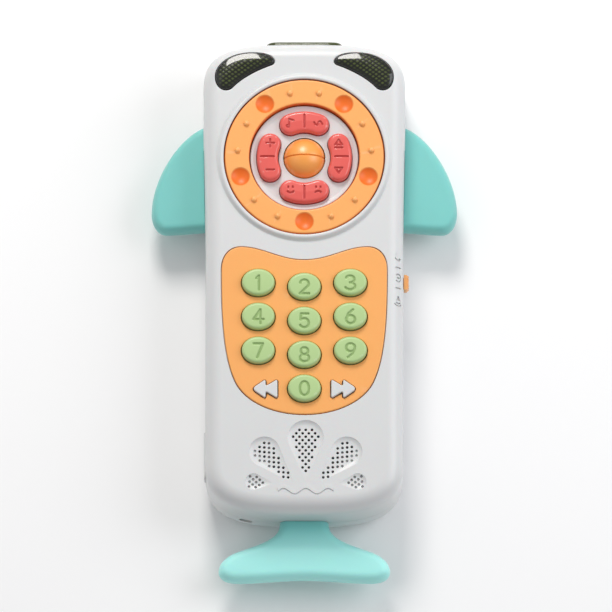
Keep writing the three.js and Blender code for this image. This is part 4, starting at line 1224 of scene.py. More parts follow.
    def side_signs(self, shape: PhoneShape) -> Solid:
        """Gives the cutter for the plain signs along the switch: a moon, a power sign and a sounding horn.

        Args:
            shape: The phone's shared sizes.

        Returns:
            The solid.
        """
        moon = np.vstack([arc(0, 0, 1.5, 1.5, -70, 160, 20), arc(-0.55, 0.35, 1.15, 1.15, 150, -60, 20)])
        horn = np.array([(-1.6, -0.5), (-0.9, -0.5), (0.1, -1.3), (0.1, 1.3), (-0.9, 0.5), (-1.6, 0.5)])
        signs = [(moon, -37.0), (bar_outline(1.1), -40.8), (band(0, 0, 1.35, 130, 410, 0.3), -44.6),
                 (bar_outline(0.5), -44.6), (bar_outline(1.1), -48.4), (horn, -53.0),
                 (band(-0.2, 0, 1.3, -50, 50, 0.24), -53.0), (band(-0.2, 0, 2.2, -50, 50, 0.24), -53.0)]
        reach = shape.waist_half - self.edge
        across, out = np.array([-1.0, 0.0, 1.0]) / math.sqrt(2), np.array([1.0, 0.0, 1.0]) / math.sqrt(2)
        tools = []
        for outline, y in signs:
            along = outline[:, :1] * np.array([0.0, -1.0, 0.0])
            flat = np.array([0.0, y, 0.0]) + along + outline[:, 1:] * across
            base = np.array([reach, 0.0, shape.face - self.edge])
            tools.append(loft([flat + base + out * (self.edge - 0.7), flat + base + out * (self.edge + 3)]))
        return together(tools)

    def dress(self, shell: bpy.types.Object, looks: dict[str, bpy.types.Material]) -> None:
        """Paints the shell and fits it to the case body."""
        finish_piece(shell, "case", "white_shell", looks["white"], "front_shell")


def band(x: float, y: float, radius: float, start: float, end: float, half: float) -> np.ndarray:
    """Gives the outline of a curved stroke."""
    outer = arc(x, y, radius + half, radius + half, start, end, 24)
    inner = arc(x, y, radius - half, radius - half, end, start, 24)
    return np.vstack([outer, inner])


def bar_outline(half: float, width: float = 0.3) -> np.ndarray:
    """Gives the outline of a short straight stroke with round ends."""
    return np.vstack([arc(0, half, width, width, 0, 180, 8), arc(0, -half, width, width, 180, 360, 8)])


def soft_slots(shape: PhoneShape) -> Solid:
    """Gives the cutter for the three slots that hold the flippers and the tail."""
    flipper_low, flipper_high = box_mm("flipper_right")
    centre_y, z = (flipper_low[1] + flipper_high[1]) / 2, (flipper_low[2] + flipper_high[2]) / 2
    right = block((shape.waist_half - 4.4, centre_y - 11.4, z - 2.8),
                  (shape.waist_half + 3, centre_y + 11.4, z + 2.8))
    tail_z = middle("tail")[2]
    back = block((-7.55, shape.tail_y - 3, tail_z - 2.8), (7.55, shape.tail_y + 4.4, tail_z + 2.8))
    return right.joined(right.mirrored(), back)


@dataclass
class BackCase:
    """The white back shell, its battery door and the screws that close both."""

    edge: float = 7.6
    head_radius: float = 3.1
    strap_x: float = -21.0
    strap_half: float = 2.35

    def build(self) -> list[bpy.types.Object]:
        """Builds the shell and the door.

        Returns:
            The back shell and the battery door.
        """
        shape = SHAPE
        base = shape.case()
        turns = quarter_turn(16)
        rings = rounded_low(base, self.edge, 0.0, turns)
        for inset, height in ((0.0, shape.parting - 0.4), (0.12, shape.parting - 0.12), (0.4, shape.parting)):
            rings.append(at_height(outset(base, -inset), height))
        shell = make("back_case", loft(rings))
        inner, edge = shape.case(shape.wall, 1.5), self.edge - shape.wall
        hollow = rounded_low(inner, edge, shape.wall, turns[::3] + turns[-1:])
        change(shell, loft([*hollow, at_height(inner, shape.parting + 1)]))
        pad = prism(rounded_box(DOOR_LOW[:2] - 2.2, DOOR_HIGH[:2] + 2.2, 4), shape.wall / 2, 4.4)
        change(shell, pad, Cut.ADD)
        change(shell, self.box_wall(), Cut.ADD)
        posts = [cylinder(x, y, 4.3, shape.wall / 2, shape.parting - 5, 32) for x, y in SCREW_SPOTS]
        change(shell, together(posts), Cut.ADD)
        self.cut(shell, shape)
        return [shell, self.build_door()]

    def box_wall(self) -> Solid:
        """Gives the walls that hold the battery pack and the post for the door's screw."""
        low, high = box_mm("battery_pack")
        return prism(rounded_box(low[:2] - 2.1, high[:2] + 2.1, 2), 1.1, 9.9)

    def cut(self, shell: bpy.types.Object, shape: PhoneShape) -> None:
        """Cuts the door's recess, the pack's space, the screw wells and the strap slot.

        Args:
            shell: The shell that is cut.
            shape: The phone's shared sizes.
        """
        low, high = box_mm("battery_pack")
        change(shell, prism(rounded_box(DOOR_LOW[:2] - CLEARANCE, DOOR_HIGH[:2] + CLEARANCE, 3), -1, 2.4))
        change(shell, block((low[0] - 0.6, low[1] - 0.6, 0), (high[0] + 0.6, high[1] + 0.6, 30)))
        wells = [cylinder(x, y, self.head_radius, -1, 3, 40) for x, y in SCREW_SPOTS]
        bores = [cylinder(x, y, 1.55, -1, shape.parting, 20) for x, y in SCREW_SPOTS]
        change(shell, together(wells))
        change(shell, together(bores))
        x, y = middle("battery_door_screw")[:2]
        change(shell, cylinder(x, y, 1.4, 0, 7, 20))
        slot = rounded_box((self.strap_x - self.strap_half, 8.6), (self.strap_x + self.strap_half, 11.9), 0.9)
        change(shell, end_cutter(slot, shape.tail_y - 3, shape.tail_y + 6.6))
        change(shell, soft_slots(shape))

    def build_door(self) -> bpy.types.Object:
        """Builds the battery door with its grip ribs and screw well.

        Returns:
            The piece.
        """
        plate = rounded_box(DOOR_LOW[:2], DOOR_HIGH[:2], 2.75)
        door = make("battery_cover", prism(plate, DOOR_LOW[2], DOOR_HIGH[2], 0.35))
        x, y = middle("battery_door_screw")[:2]
        change(door, cylinder(x, y, self.head_radius, -1, 1.55, 40))
        change(door, cylinder(x, y, 1.4, -1, 6, 20))
        for rib in range(6):
            at = DOOR_HIGH[1] - 4 - rib * 2.2
            change(door, prism(rounded_box((-9 + rib * 0.8, at - 0.5), (9 - rib * 0.8, at + 0.5), 0.45),
                               -1, DOOR_LOW[2] + 0.4))
        return door

    def screw(self, name: str) -> bpy.types.Object:
        """Builds one cross-head screw in the place of its CAD node.

        Args:
            name: The CAD node's name.

        Returns:
            The piece.
        """
        low, high = box_mm(name)
        x, y, shank = (low[0] + high[0]) / 2, (low[1] + high[1]) / 2, 1.2 if high[0] - low[0] > 5 else 0.85
        radius, head = (high[0] - low[0]) / 2, 1.9 if high[2] - low[2] > 8 else 1.0
        thread, turns = [], int((high[2] - low[2] - head) / 0.6)
        for turn in range(turns):
            at = low[2] + head + turn * 0.6
            thread += [(shank - 0.18, at + 0.05), (shank, at + 0.3), (shank - 0.18, at + 0.55)]
        profile = [(0.0, low[2]), (radius - 0.35, low[2]), (radius - 0.08, low[2] + 0.12),
                   (radius, low[2] + 0.4),
                   (radius, low[2] + head), (shank, low[2] + head), *thread, (shank - 0.3, high[2]),
                   (0.0, high[2])]
        piece = make(f"{name}_piece", lathe(profile, 40).moved(x, y))
        arm = radius * 0.62
        change(piece, block((x - arm, y - 0.32, low[2] - 1), (x + arm, y + 0.32, low[2] + 0.75)))
        change(piece, block((x - 0.32, y - arm, low[2] - 1), (x + 0.32, y + arm, low[2] + 0.75)))
        return piece

    def dress(self, pieces: list[bpy.types.Object], looks: dict[str, bpy.types.Material]) -> None:
        """Paints the shell, the door and the screws and fits them to the case body."""
        finish_piece(pieces[0], "case", "white_shell", looks["white"], "back_shell")
        finish_piece(pieces[1], "case", "white_shell", looks["white"], "battery_door")
        for name in [f"shell_screw_{index}" for index in range(1, 7)] + ["battery_door_screw"]:
            finish_piece(self.screw(name), "case", "steel", looks["steel"], name, settle=False)


@dataclass
class DialGroup:
    """The turning orange ring, the white dish inside it and the clicking ball."""

    inner: float = 19.8
    outer: float = 28.7
    flange: float = 29.9
    flange_top: float = 27.25
    top: float = 30.9
    dimple_pitch: float = 24.2
    dimple_radius: float = 3.55
    dimple_depth: float = 1.3
    bump_radius: float = 1.1
    bump_turn: float = 23.5
    dish_top: float = 28.4
    dish_under: float = 27.1
    ball_gap: float = 0.35
    ball_radius: float = 7.6

    def build(self) -> list[bpy.types.Object]:
        """Builds the ring, the dish and both halves of the ball.

        Returns:
            The ring, the dish, the head half and the tail half.
        """
        return [self.ring(), self.dish(), self.ball_half("ball_shell_head", 1),
                self.ball_half("ball_shell_tail", -1)]

    def ring(self) -> bpy.types.Object:
        """Builds the ring with its five finger dimples and ten grip bumps.

        Returns:
            The piece.
        """
        low = box_mm("dial_ring")[0][2]
        upper = round_corners([(self.outer, self.flange_top), (self.outer, self.top), (self.inner, self.top),
                               (self.inner, low)], 0.75, 6, closed=False)
        profile = [(self.inner, low), (self.flange, low), (self.flange, self.flange_top),
                   *[tuple(point) for point in upper[:-1]]]
        piece = make("dial_ring_piece", lathe(profile, 200))
        ball = (self.dimple_radius ** 2 + self.dimple_depth ** 2) / (2 * self.dimple_depth)
        for step in range(5):
            angle = math.radians(-90 + 72 * step)
            x, y = self.dimple_pitch * math.cos(angle), self.dimple_pitch * math.sin(angle)
            change(piece, sphere(x, y, self.top + ball - self.dimple_depth, ball, 96))
            for turn in (-self.bump_turn, self.bump_turn):
                spot = angle + math.radians(turn)
                x, y = self.dimple_pitch * math.cos(spot), self.dimple_pitch * math.sin(spot)
                change(piece, sphere(x, y, self.top, self.bump_radius, 28), Cut.ADD)
        # Painted shade: deeper orange the further the surface drops below the ring's top, in the dimples and
        # down the walls
        paint(piece, lambda spots: (self.top - 0.06 - spots[:, 2]) / 0.3)
        return piece

    def dish(self) -> bpy.types.Object:
        """Builds the dish that holds the rockers and the ball.

        Returns:
            The piece.
        """
        low, high = box_mm("button_dish")
        outer = high[0]
        lip = [(0.0, 0.3), (-0.15, 0.47), (-0.7, 0.5), (-1.2, 0.25), (-1.8, 0.0)]
        profile = [(0.0, self.dish_under), (outer - 1.2, self.dish_under), (outer - 1.2, low[2]),
                   (outer, low[2]), *[(outer + x, self.dish_top + z) for x, z in lip], (0.0, self.dish_top)]
        piece = make("dish_piece", lathe(profile, 160))
        change(piece, sphere(0, 0, middle("ball_half_head")[2], self.ball_radius + self.ball_gap, 128))
        for direction in (0, 90, 180, 270):
            change(piece, sunk(SHAPE.kidney(direction, CLEARANCE), 20, self.dish_top, 0.2))
        return piece

    def ball_half(self, name: str, side: int) -> bpy.types.Object:
        """Builds one half of the ball, eased at the seam and bored for its axle.

        Args:
            name: The piece's name.
            side: 1 for the head half and -1 for the tail half.

        Returns:
            The piece.
        """
        height = middle("ball_half_head")[2]
        radius = self.ball_radius
        turn = np.linspace(math.asin(0.34 / radius), math.pi / 2, 40)
        profile = [(0.0, 0.06), (radius - 0.42, 0.06), (radius - 0.2, 0.14)]
        profile += [(radius * math.cos(a), radius * math.sin(a)) for a in turn[:-1]] + [(0.0, radius)]
        half = lathe(profile, 120)
        swung = half.points[:, [0, 2, 1]] * np.array([1.0, side, 1.0]) + np.array([0.0, 0.0, height])
        piece = make(name, Solid(swung, half.faces))
        bore = round_bar(0.0, height, 1.05, 20)
        change(piece, bore)
        return piece

    def dress(self, pieces: list[bpy.types.Object], looks: dict[str, bpy.types.Material]) -> None:
        """Paints the pieces and fits them to the dial, the case and the ball."""
        finish_piece(pieces[0], "dial", "orange_plastic", looks["orange"], "dial_ring")
        finish_piece(pieces[1], "case", "white_shell", looks["white"], "button_dish")
        finish_piece(pieces[2], "ball", "ball_orange", looks["ball"], "ball_half_head", settle=False)
        finish_piece(pieces[3], "ball", "ball_orange", looks["ball"], "ball_half_tail", settle=False)


def round_bar(y: float, z: float, radius: float, half_length: float, segments: int = 24) -> Solid:
    """Gives a round bar along X through a spot in (Y, height)."""
    turn = np.linspace(0, 2 * math.pi, segments, endpoint=False)
    ring = np.column_stack([y + radius * np.cos(turn), z + radius * np.sin(turn)])
    return side_cutter(ring, 1, -half_length, half_length)


@dataclass
class Rockers:
    """The four coral rocker buttons, each engraved with two plain signs and a divider."""

    top: float = 31.3
    edge: float = 1.3
    stroke: float = 0.52
    depth: float = 0.5

    def signs(self, direction: int) -> list[np.ndarray]:
        """Gives a rocker's engraved lines about the dial's centre.

        Args:
            direction: Where the rocker lies, in degrees from the right.

        Returns:
            The lines in plan.
        """
        pitch = SHAPE.rocker_pitch

        def spot(turn: float) -> np.ndarray:
            """Gives a place on the rocker's middle arc."""
            angle = math.radians(direction + turn)
            return pitch * np.array([math.cos(angle), math.sin(angle)])

        way = np.array([math.cos(math.radians(direction)), math.sin(math.radians(direction))])
        lines = [np.array([way * (pitch - 2.3), way * (pitch + 2.3)])]
        first, second = spot(-22), spot(22)
        if direction == 0:
            up = [(-1.3, -0.7), (0, 1.2), (1.3, -0.7), (-1.3, -0.7)]
            lines += [np.array(up) + second, np.array([(-1.3, -1.7), (1.3, -1.7)]) + second,
                      -np.array(up) + first]
        elif direction == 90:
            note = [(-0.5, -0.9), (-0.5, 1.5), (1.0, 1.1)]
            wave = [(x, 0.7 * math.sin(x * 2.4)) for x in np.linspace(-1.5, 1.5, 15)]
            lines += [np.array(note) + second, arc(-0.9, -1.0, 0.45, 0.4, 0, 360, 12) + second,
                      np.array(wave) + first]
        elif direction == 180:
            bar = np.array([(-1.4, 0.0), (1.4, 0.0)])
            lines += [bar + first, bar[:, ::-1] + first, bar + second]
        else:
            for centre, smile in ((first, 1), (second, -1)):
                height, start, end = (-0.5, 200, 340) if smile > 0 else (-1.4, 20, 160)
                mouth = arc(0, height, 1.1, 0.75, start, end, 10)
                lines += [mouth + centre, np.array([(-0.8, 0.7), (-0.8, 1.0)]) + centre,
                          np.array([(0.8, 0.7), (0.8, 1.0)]) + centre]
        return lines

    def build(self) -> dict[str, bpy.types.Object]:
        """Builds the four buttons.

        Returns:
            Each button by the name of its CAD node.
        """
        pieces = {}
        for name, direction in (("rocker_right", 0), ("rocker_head", 90), ("rocker_left", 180),
                                ("rocker_tail", 270)):
            lines = self.signs(direction)

            def top(spots: np.ndarray, depth: np.ndarray) -> np.ndarray:
                """Gives the height of the top face."""
                crown = 0.18 * np.clip((depth - self.edge) / 2.5, -1, 1)
                cut = groove(spots, lines, self.stroke, self.depth)
                return (self.top - 0.18 + crown * (depth > self.edge)
                        - quarter(depth, self.edge) - np.minimum(cut, self.depth))

            low, _ = box_mm(name)
            piece = make(f"{name}_cap", pillow(SHAPE.kidney(direction), top, level(26.1), self.edge, 0.17))
            lip = prism(SHAPE.kidney(direction, 0.5), low[2], low[2] + 1.4)
            change(piece, lip, Cut.ADD)
            # Painted shade: darker coral along the grooves of the engraved signs
            paint(piece, lambda spots: groove(spots[:, :2], lines, self.stroke, 0.85))
            pieces[name] = piece
        return pieces

    def dress(self, pieces: dict[str, bpy.types.Object], looks: dict[str, bpy.types.Material]) -> None:
        """Paints the buttons and fits each one to its own body."""
        for name, piece in pieces.items():
            finish_piece(piece, f"{name}_button", "coral_button", looks["coral"], name, settle=False)


@dataclass
class Keypad:
    """The orange panel, the ten numbered green keys and the two white skip buttons."""

    top: float = 32.6
    half_x: float = 5.9
    half_y: float = 4.9
    edge: float = 1.0
    dome: float = 0.2
    stroke: float = 0.62
    depth: float = 0.5
    digit_drop: float = 0.45
    digit_x: float = 1.62
    digit_y: float = 2.55

    def digit(self, number: int) -> list[np.ndarray]:
        """Gives the engraved lines of a numeral in a box of one by one about its middle.

        Args:
            number: The numeral.

        Returns:
            The lines in plan.
        """
        lines = {
            0: [arc(0, 0, 1, 1, 0, 360, 32)],
            1: [np.array([(-0.45, 0.62), (0.12, 1.0), (0.12, -1.0)])],
            2: [np.vstack([arc(0, 0.42, 0.95, 0.58, 165, -35, 18), [(-1.0, -1.0), (1.05, -1.0)]])],
            3: [np.vstack([arc(-0.1, 0.5, 0.95, 0.5, 155, -90, 16),
                           arc(-0.1, -0.5, 1.1, 0.5, 90, -155, 16)])],
            4: [np.array([(0.45, -1.0), (0.45, 1.0), (-1.05, -0.4), (1.15, -0.4)])],
            5: [np.vstack([[(0.85, 1.0), (-0.75, 1.0), (-0.9, 0.15)],
                           arc(-0.05, -0.35, 1.0, 0.65, 130, -150, 18)])],
            6: [arc(0, -0.42, 0.98, 0.58, 0, 360, 28),
                np.vstack([[(0.55, 1.0)], [(-0.45, 0.45)], [(-0.95, -0.35)]])],
            7: [np.array([(-1.0, 1.0), (1.0, 1.0), (-0.25, -1.0)])],
            8: [arc(0, 0.5, 0.8, 0.5, 0, 360, 26), arc(0, -0.5, 1.0, 0.52, 0, 360, 28)],
            9: [arc(0, 0.42, 0.98, 0.58, 0, 360, 28),
                np.vstack([[(0.95, 0.35)], [(0.45, -0.45)], [(-0.55, -1.0)]])],
        }
        return [line * np.array([self.digit_x, self.digit_y]) for line in lines[number]]

    def key(self, number: int, spot: np.ndarray) -> bpy.types.Object:
        """Builds one domed key with its numeral, flange and plunger.

        Args:
            number: The numeral.
            spot: The key's middle, in plan.

        Returns:
            The key.
        """
        lines = [line + spot + np.array([0.0, -self.digit_drop]) for line in self.digit(number)]
        low = box_mm(f"key_{number}")[0][2]

        def top(spots: np.ndarray, depth: np.ndarray) -> np.ndarray:
            """Gives the height of the top face."""
            reach = np.linalg.norm((spots - spot) / np.array([self.half_x, self.half_y]), axis=1)
            return (self.top - self.dome * reach ** 2 - quarter(depth, self.edge)
                    - groove(spots, lines, self.stroke, self.depth))

        cap = pillow(oval(spot, self.half_x, self.half_y, 120), top, level(26.0), self.edge, 0.17)
        piece = make(f"key_{number}_cap", cap)
        change(piece, prism(oval(spot, self.half_x + 1.2, self.half_y + 1.0), 25.85, 27.2, 0.2, 2), Cut.ADD)
        # Painted shade: darker green along the grooves of the engraved numeral
        paint(piece, lambda s: groove(s[:, :2], lines, self.stroke, 0.75) * (s[:, 2] > self.top - 2))
        change(piece, prism(oval(spot, 3.4, 2.8, 48), low, 26.2), Cut.ADD)
        return piece

    def skip(self, name: str) -> bpy.types.Object:
        """Builds one white skip button with its flange and plunger.

        Args:
            name: The CAD node's name.

        Returns:
            The piece.
        """
        spot, way = SKIP_SPOTS[name], -1 if name == "skip_back" else 1
        low, high = box_mm(name)
        outline = SHAPE.skip(spot, way)

        def top(spots: np.ndarray, depth: np.ndarray) -> np.ndarray:
            """Gives the height of the top face."""
            return high[2] - quarter(depth, 0.35)

        piece = make(f"{name}_cap", pillow(outline, top, level(26.0), 0.35, 0.4))
        change(piece, prism(rounded_box((low[0], low[1]), (high[0], high[1]), 1), 25.85, 27.2), Cut.ADD)
        change(piece, cylinder(*spot, 2.4, low[2], 26.2), Cut.ADD)
        return piece

    def panel(self) -> bpy.types.Object:
        """Builds the orange panel with an eased hole round every key.

        Returns:
            The piece.
        """
        low, high = box_mm("keypad_panel")

        def top(spots: np.ndarray, depth: np.ndarray) -> np.ndarray:
            """Gives the height of the top face."""
            return high[2] - quarter(depth, 0.45)

        piece = make("keypad_face", pillow(SHAPE.panel(), top, level(low[2]), 0.45, 1.6))
        for spot in KEY_SPOTS.values():
            change(piece, sunk(oval(spot, *KEY_HOLE, 120), low[2] - 2, high[2], 0.3))
        for name, spot in SKIP_SPOTS.items():
            way = -1 if name == "skip_back" else 1
            change(piece, sunk(SHAPE.skip(spot, way, SKIP_CLEARANCE), low[2] - 2, high[2], 0.22))
        # Painted shade: deeper orange where the panel drops below its top, round the eased key holes and down
        # its edge
        paint(piece, lambda spots: 0.8 * (high[2] - 0.2 - spots[:, 2]) / 0.8)
        return piece

    def build(self) -> dict[str, bpy.types.Object]:
        """Builds every piece of the keypad.

        Returns:
            Each piece by the name of its CAD node.
        """
        pieces = {f"key_{number}": self.key(number, spot) for number, spot in KEY_SPOTS.items()}
        pieces |= {name: self.skip(name) for name in SKIP_SPOTS}
        pieces["keypad_panel"] = self.panel()
        return pieces

    def dress(self, pieces: dict[str, bpy.types.Object], looks: dict[str, bpy.types.Material]) -> None:
        """Paints the keypad and fits each button to its own body."""
        for name, piece in pieces.items():
            if name == "keypad_panel":
                finish_piece(piece, "case", "orange_plastic", looks["orange"], name)
            elif name.startswith("key"):
                finish_piece(piece, f"{name}_button", "green_key", looks["green"], name, settle=False)
            else:
                finish_piece(piece, f"{name}_button", "white_shell", looks["white"], name, settle=False)


@dataclass
class Lenses:
    """The two smoked eyes and the lens in the head end."""

    dome: float = 0.8
    edge: float = 0.6
    rim: float = 1.5

    def eye(self, side: int) -> bpy.types.Object:
        """Builds one eye lens: a shallow dome with a rounded edge.

        Args:
            side: 1 for the right side and -1 for the left.

        Returns:
            The piece.
        """
        name = "eye_lens_right" if side > 0 else "eye_lens_left"
        low, high = box_mm(name)
        outline = SHAPE.eye(side)

        def top(spots: np.ndarray, depth: np.ndarray) -> np.ndarray:
            """Gives the height of the top face."""
            swell = np.sin(np.clip(depth / 4.6, 0, 1) * math.pi / 2)
            return high[2] - self.dome + self.dome * swell - quarter(depth, self.edge)

        piece = make(f"{name}_glass", pillow(outline, top, level(low[2]), self.edge, 0.5))
        paint(piece, lambda spots: (from_edge(spots[:, :2], outline) - 0.4) / self.rim)
        return piece

    def head_lens(self) -> bpy.types.Object:
        """Builds the lens that stands a little proud of the head end.

        Returns:
            The piece.
        """
        low, high = box_mm("top_lens")
        centre, half = (low + high) / 2, (high - low) / 2
        plan = rounded_box((-half[0], -half[2]), (half[0], half[2]), 3)

        def front(spots: np.ndarray, depth: np.ndarray) -> np.ndarray:
            """Gives how far the front face reaches."""
            return high[1] - quarter(depth, 1.2) - 0.3 * np.clip(1 - depth / 5, 0, 1) ** 2

        flat = pillow(plan, front, level(low[1]), 1.2, 0.8)
        swung = np.column_stack([-flat.points[:, 0] + centre[0], flat.points[:, 2],
                                 flat.points[:, 1] + centre[2]])
        piece = make("head_glass", Solid(swung, flat.faces))
        paint(piece, lambda spots: (from_edge(np.column_stack([-spots[:, 0], spots[:, 2] - centre[2]]),
                                              plan) - 0.2) / self.rim)
        return piece

    def build(self) -> dict[str, bpy.types.Object]:
        """Builds the three lenses by the names of their CAD nodes."""
        return {"eye_lens_left": self.eye(-1), "eye_lens_right": self.eye(1), "top_lens": self.head_lens()}

    def dress(self, pieces: dict[str, bpy.types.Object], looks: dict[str, bpy.types.Material]) -> None:
        """Gives the lenses their tinted look and fits them to the case."""
        for name, piece in pieces.items():
            finish_piece(piece, "case", "smoked_lens",
                         looks["head_lens" if name == "top_lens" else "lens"], name, settle=False)


@dataclass
class SoftParts:
    """The teal silicone flippers and tail, softly rounded, each with a tab held by the case."""

    edge: float = 2.6
    gap: float = 0.12

    def soft(self, outline: np.ndarray, low: float, high: float, edge: float) -> Solid:
        """Gives a softly rounded pad between two heights.

        Args:
            outline: The outline, counter-clockwise.
            low: The height of the underside.
            high: The height of the top.
            edge: How wide the rounded rim is.

        Returns:
            The solid.
        """
        half, mid = (high - low) / 2, (low + high) / 2

        def bulge(depth: np.ndarray) -> np.ndarray:
            """Gives how far a face swells from the middle plane."""
            share = 1 - np.clip(depth / edge, 0, 1)
            swell = np.sqrt(np.clip(1 - share ** 2, 0, 1))
            return 0.02 + (half - 0.02) * swell * (0.93 + 0.07 * np.clip(depth / 9, 0, 1))

        return pillow(outline, lambda s, d: mid + bulge(d), lambda s, d: mid - bulge(d), edge, 1.0)

    def flipper(self, side: int) -> bpy.types.Object:
        """Builds one flipper and the tab that passes through the case wall.

        Args:
            side: 1 for the right side and -1 for the left.

        Returns:
            The piece.
        """
        name = "flipper_right" if side > 0 else "flipper_left"
        low, high = box_mm("flipper_right")
        pad = self.soft(SHAPE.flipper(), low[2], high[2], self.edge)
        pad = pad if side > 0 else pad.mirrored()
        piece = make(f"{name}_pad", pad, 50)
        change(piece, prism(SHAPE.case(-self.gap), low[2] - 5, high[2] + 5))
        y, z = (low[1] + high[1]) / 2, (low[2] + high[2]) / 2
        neck = block((SHAPE.waist_half - 4.2, y - 11.2, z - 2.6), (SHAPE.waist_half + 4, y + 11.2, z + 2.6))
        grip = block((SHAPE.waist_half - 4.6, y - 11, z - 2.5), (SHAPE.waist_half - 3, y + 11, z + 2.5))
        change(piece, neck if side > 0 else neck.mirrored(), Cut.ADD)
        change(piece, grip if side > 0 else grip.mirrored(), Cut.ADD)
        return piece

    def tail(self) -> bpy.types.Object:
        """Builds the tail flukes, their neck and the tab in the case."""
        low, high = box_mm("tail")
        z = (low[2] + high[2]) / 2
        piece = make("tail_flukes", self.soft(SHAPE.tail(), low[2], high[2], 3.2), 50)
        change(piece, prism(SHAPE.case(-self.gap), low[2] - 5, high[2] + 5))
        change(piece, block((-7.25, SHAPE.tail_y - 3, z - 2.5), (7.25, high[1], z + 2.5)), Cut.ADD)
        # Painted shade: darker teal towards the neck where it meets the body
        paint(piece, lambda spots: (spots[:, 1] - SHAPE.tail_y + 11) / 9)
        return piece

    def build(self) -> dict[str, bpy.types.Object]:
        """Builds the three soft pieces by the names of their CAD nodes."""
        return {"flipper_left": self.flipper(-1), "flipper_right": self.flipper(1), "tail": self.tail()}

    def dress(self, pieces: dict[str, bpy.types.Object], looks: dict[str, bpy.types.Material]) -> None:
        """Gives the silicone its look and fits it to the case."""
        for name, piece in pieces.items():
            finish_piece(piece, "case", "teal_silicone", looks["tail" if name == "tail" else "teal"], name,
                         settle=False)


@dataclass
class SideControls:
    """The ridged slide switch and the hinged cover over the charging socket."""

    ridge_pitch: float = 1.0

    def switch(self) -> bpy.types.Object:
        """Builds the switch's knob with five grip ridges and its stem.

        Returns:
            The piece.
        """
        low, high = box_mm("switch_knob")
        outside = SHAPE.waist_half + 0.25
        y, z = (low[1] + high[1]) / 2, (low[2] + high[2]) / 2
        steps = 64
        along = np.linspace(low[1] + 0.3, high[1] - 0.3, steps)
        crest = high[0] - 0.32 + 0.32 * np.cos((along - y) * 2 * math.pi / self.ridge_pitch)
        plan = np.vstack([[(outside, low[1])], [(high[0] - 0.7, low[1])], np.column_stack([crest, along]),
                          [(high[0] - 0.7, high[1])], [(outside, high[1])]])
        piece = make("switch_cap", prism(plan, low[2], high[2]))
        stem = block((low[0], y - 1.7, z - 1.6), (outside + 0.3, y + 1.7, z + 1.6))
        change(piece, stem, Cut.ADD)
        return piece

    def cover(self) -> bpy.types.Object:
        """Builds the socket's cover with rounded edges, a finger lip and its hinge barrel.

        Returns:
            The piece.
        """
        low, high = box_mm("port_cover")
        barrel = (high[0] - low[0]) / 2
        plan = rounded_box((low[1], low[2]), (high[1] - barrel, high[2]), 0.9)
        rings = [np.column_stack([np.full(len(plan), x), outset(plan, -inset)]) for x, inset in
                 ((high[0], 0.0), (low[0] + 0.35, 0.0), (low[0] + 0.1, 0.12), (low[0], 0.4))]
        piece = make("socket_cover", loft(rings))
        hinge = cylinder((low[0] + high[0]) / 2, high[1] - barrel, barrel, low[2], high[2], 32)
        change(piece, hinge, Cut.ADD)
        lip = rounded_box((low[1] + 1.0, low[2] + 1.6), (low[1] + 1.7, high[2] - 1.6), 0.3)
        change(piece, side_cutter(lip, -1, -low[0] - 0.25, -low[0] + 3))
        return piece

    def build(self) -> list[bpy.types.Object]:
        """Builds the switch and the cover."""
        return [self.switch(), self.cover()]

    def dress(self, pieces: list[bpy.types.Object], looks: dict[str, bpy.types.Material]) -> None:
        """Paints the two pieces and fits them to their bodies."""
        finish_piece(pieces[0], "switch", "orange_plastic", looks["orange"], "switch_knob", settle=False)
        finish_piece(pieces[1], "cover", "white_shell", looks["white"], "port_cover")


@dataclass
class Inside:
    """The pieces inside the case that keep their own shape and take a material here."""

    finishes: dict[str, tuple[str, ...]] = field(default_factory=lambda: {
        "inner": ("dial_retainer", "ball_cradle"),
        "grey": ("rocker_membrane", "key_membrane"),
        "steel": ("ball_axle", "retainer_screw_1", "retainer_screw_2", "retainer_screw_3", "charge_socket",
                  "speaker_frame", "speaker_magnet"),
        "board": ("main_board",),
        "black": ("switch_body",),
        "led": ("eye_led_left", "eye_led_right", "top_led"),
        "paper": ("speaker_cone",),
        "wrap": ("battery_pack",),
    })

    def dress(self, looks: dict[str, bpy.types.Material]) -> None:
        """Gives every kept piece its material."""
        for look, names in self.finishes.items():
            for name in names:
                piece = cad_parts[name]
                piece.data.materials.clear()
                piece.data.materials.append(looks[look])
                log.info("%s keeps its shape and takes %s", name, looks[look].name)


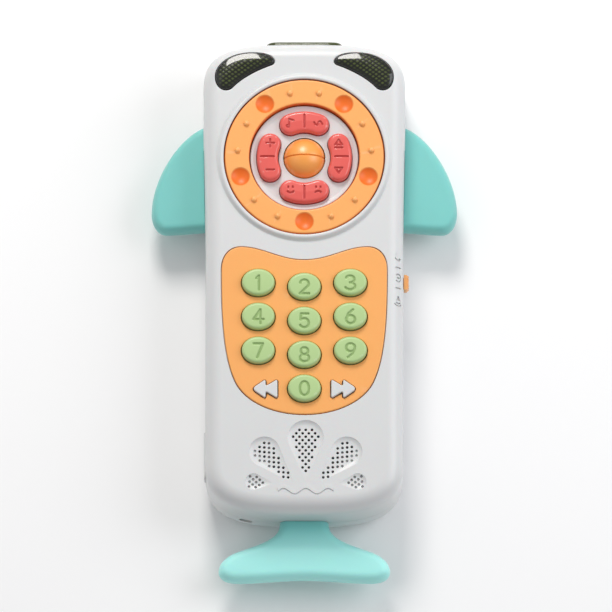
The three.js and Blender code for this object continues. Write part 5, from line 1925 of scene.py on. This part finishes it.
# ---------------------------------------------------------------- studio
@dataclass
class Studio:
    """A pale floor, soft lights and a long lens above the toy's tail."""

    elevation: float = 75.0
    lens: float = 1200.0
    frame_width: float = 0.2203
    look_at: tuple[float, float, float] = (0.0006, 0.00315, 0.015)

    def build(self) -> None:
        """Builds the floor, the lights and the camera."""
        self.floor()
        self.light("key", (-0.14, 0.8, 0.75), 0.36, 6.9, linear(255, 252, 248))
        self.light("fill", (0.8, 0.15, 0.7), 0.7, 4.2, linear(248, 250, 255))
        self.light("low", (-0.7, 0.1, 0.7), 0.8, 0.8, linear(255, 255, 255))
        world = bpy.data.worlds.new("studio_air")
        world.use_nodes = True
        world.node_tree.nodes["Background"].inputs["Color"].default_value = linear(250, 251, 253)
        world.node_tree.nodes["Background"].inputs["Strength"].default_value = 0.43
        bpy.context.scene.world = world
        bpy.context.scene.view_settings.view_transform = "Standard"
        self.camera()

    def floor(self) -> None:
        """Builds the pale floor."""
        half = 1500.0
        plan = np.array([(-half, -half), (half, -half), (half, half), (-half, half)])
        floor = make("floor", prism(plan, -2.0, 0.0))
        look = bpy.data.materials.new("paper_floor")
        look.use_nodes = True
        shader = look.node_tree.nodes["Principled BSDF"]
        shader.inputs["Base Color"].default_value = linear(250, 250, 250)
        shader.inputs["Roughness"].default_value = 0.9
        floor.data.materials.append(look)

    def light(self, name: str, place: tuple[float, float, float], size: float, power: float,
              colour: tuple[float, float, float, float]) -> None:
        """Adds a soft square light that faces the toy.

        Args:
            name: The light's name.
            place: Where it hangs, in metres.
            size: The length of its side in metres.
            power: Its power in watts.
            colour: Its colour.
        """
        data = bpy.data.lights.new(name, "AREA")
        data.size, data.energy, data.color = size, power, colour[:3]
        lamp = bpy.data.objects.new(name, data)
        bpy.context.scene.collection.objects.link(lamp)
        lamp.location = place
        lamp.rotation_euler = (-Vector(place)).to_track_quat("-Z", "Y").to_euler()

    def camera(self) -> None:
        """Places the camera at the toy's usual viewing angle."""
        data = bpy.data.cameras.new("camera")
        data.lens, data.sensor_width, data.clip_end = self.lens, 36.0, 20.0
        camera = bpy.data.objects.new("camera", data)
        bpy.context.scene.collection.objects.link(camera)
        distance = self.frame_width * self.lens / data.sensor_width
        rise = math.radians(self.elevation)
        target = Vector(self.look_at)
        camera.location = target + Vector((0.0, -math.cos(rise), math.sin(rise))) * distance
        camera.rotation_euler = (target - camera.location).to_track_quat("-Z", "Y").to_euler()
        bpy.context.scene.camera = camera


def main() -> None:
    """Builds every sub-assembly, dresses it and sets the stage."""
    logging.basicConfig(level=logging.INFO, format="%(name)s: %(message)s")
    groups = {"moulded": build_moulded_group(), "edges": build_edge_group(), "facets": build_facet_group()}
    palette = {
        "white": WHITE, "orange": ORANGE, "ball": BALL, "coral": CORAL, "green": GREEN, "teal": TEAL,
        "tail": TAIL_PAINTED_LIGHT_AND_SHADE, "lens": LENS, "head_lens": HEAD_LENS_PAINTED_LIGHTER, "grey": GREY_SILICONE, "inner": INNER,
        "steel": STEEL, "board": BOARD, "black": BLACK, "led": LED, "paper": PAPER, "wrap": WRAP,
    }
    looks = {name: finish.build(groups) for name, finish in palette.items()}
    for part in (FrontCase(), BackCase(), DialGroup(), Rockers(), Keypad(), Lenses(), SoftParts(),
                 SideControls()):
        part.dress(part.build(), looks)
        log.info("%s is built", type(part).__name__)
    Inside().dress(looks)
    Studio().build()


if __name__ == "__main__":
    main()
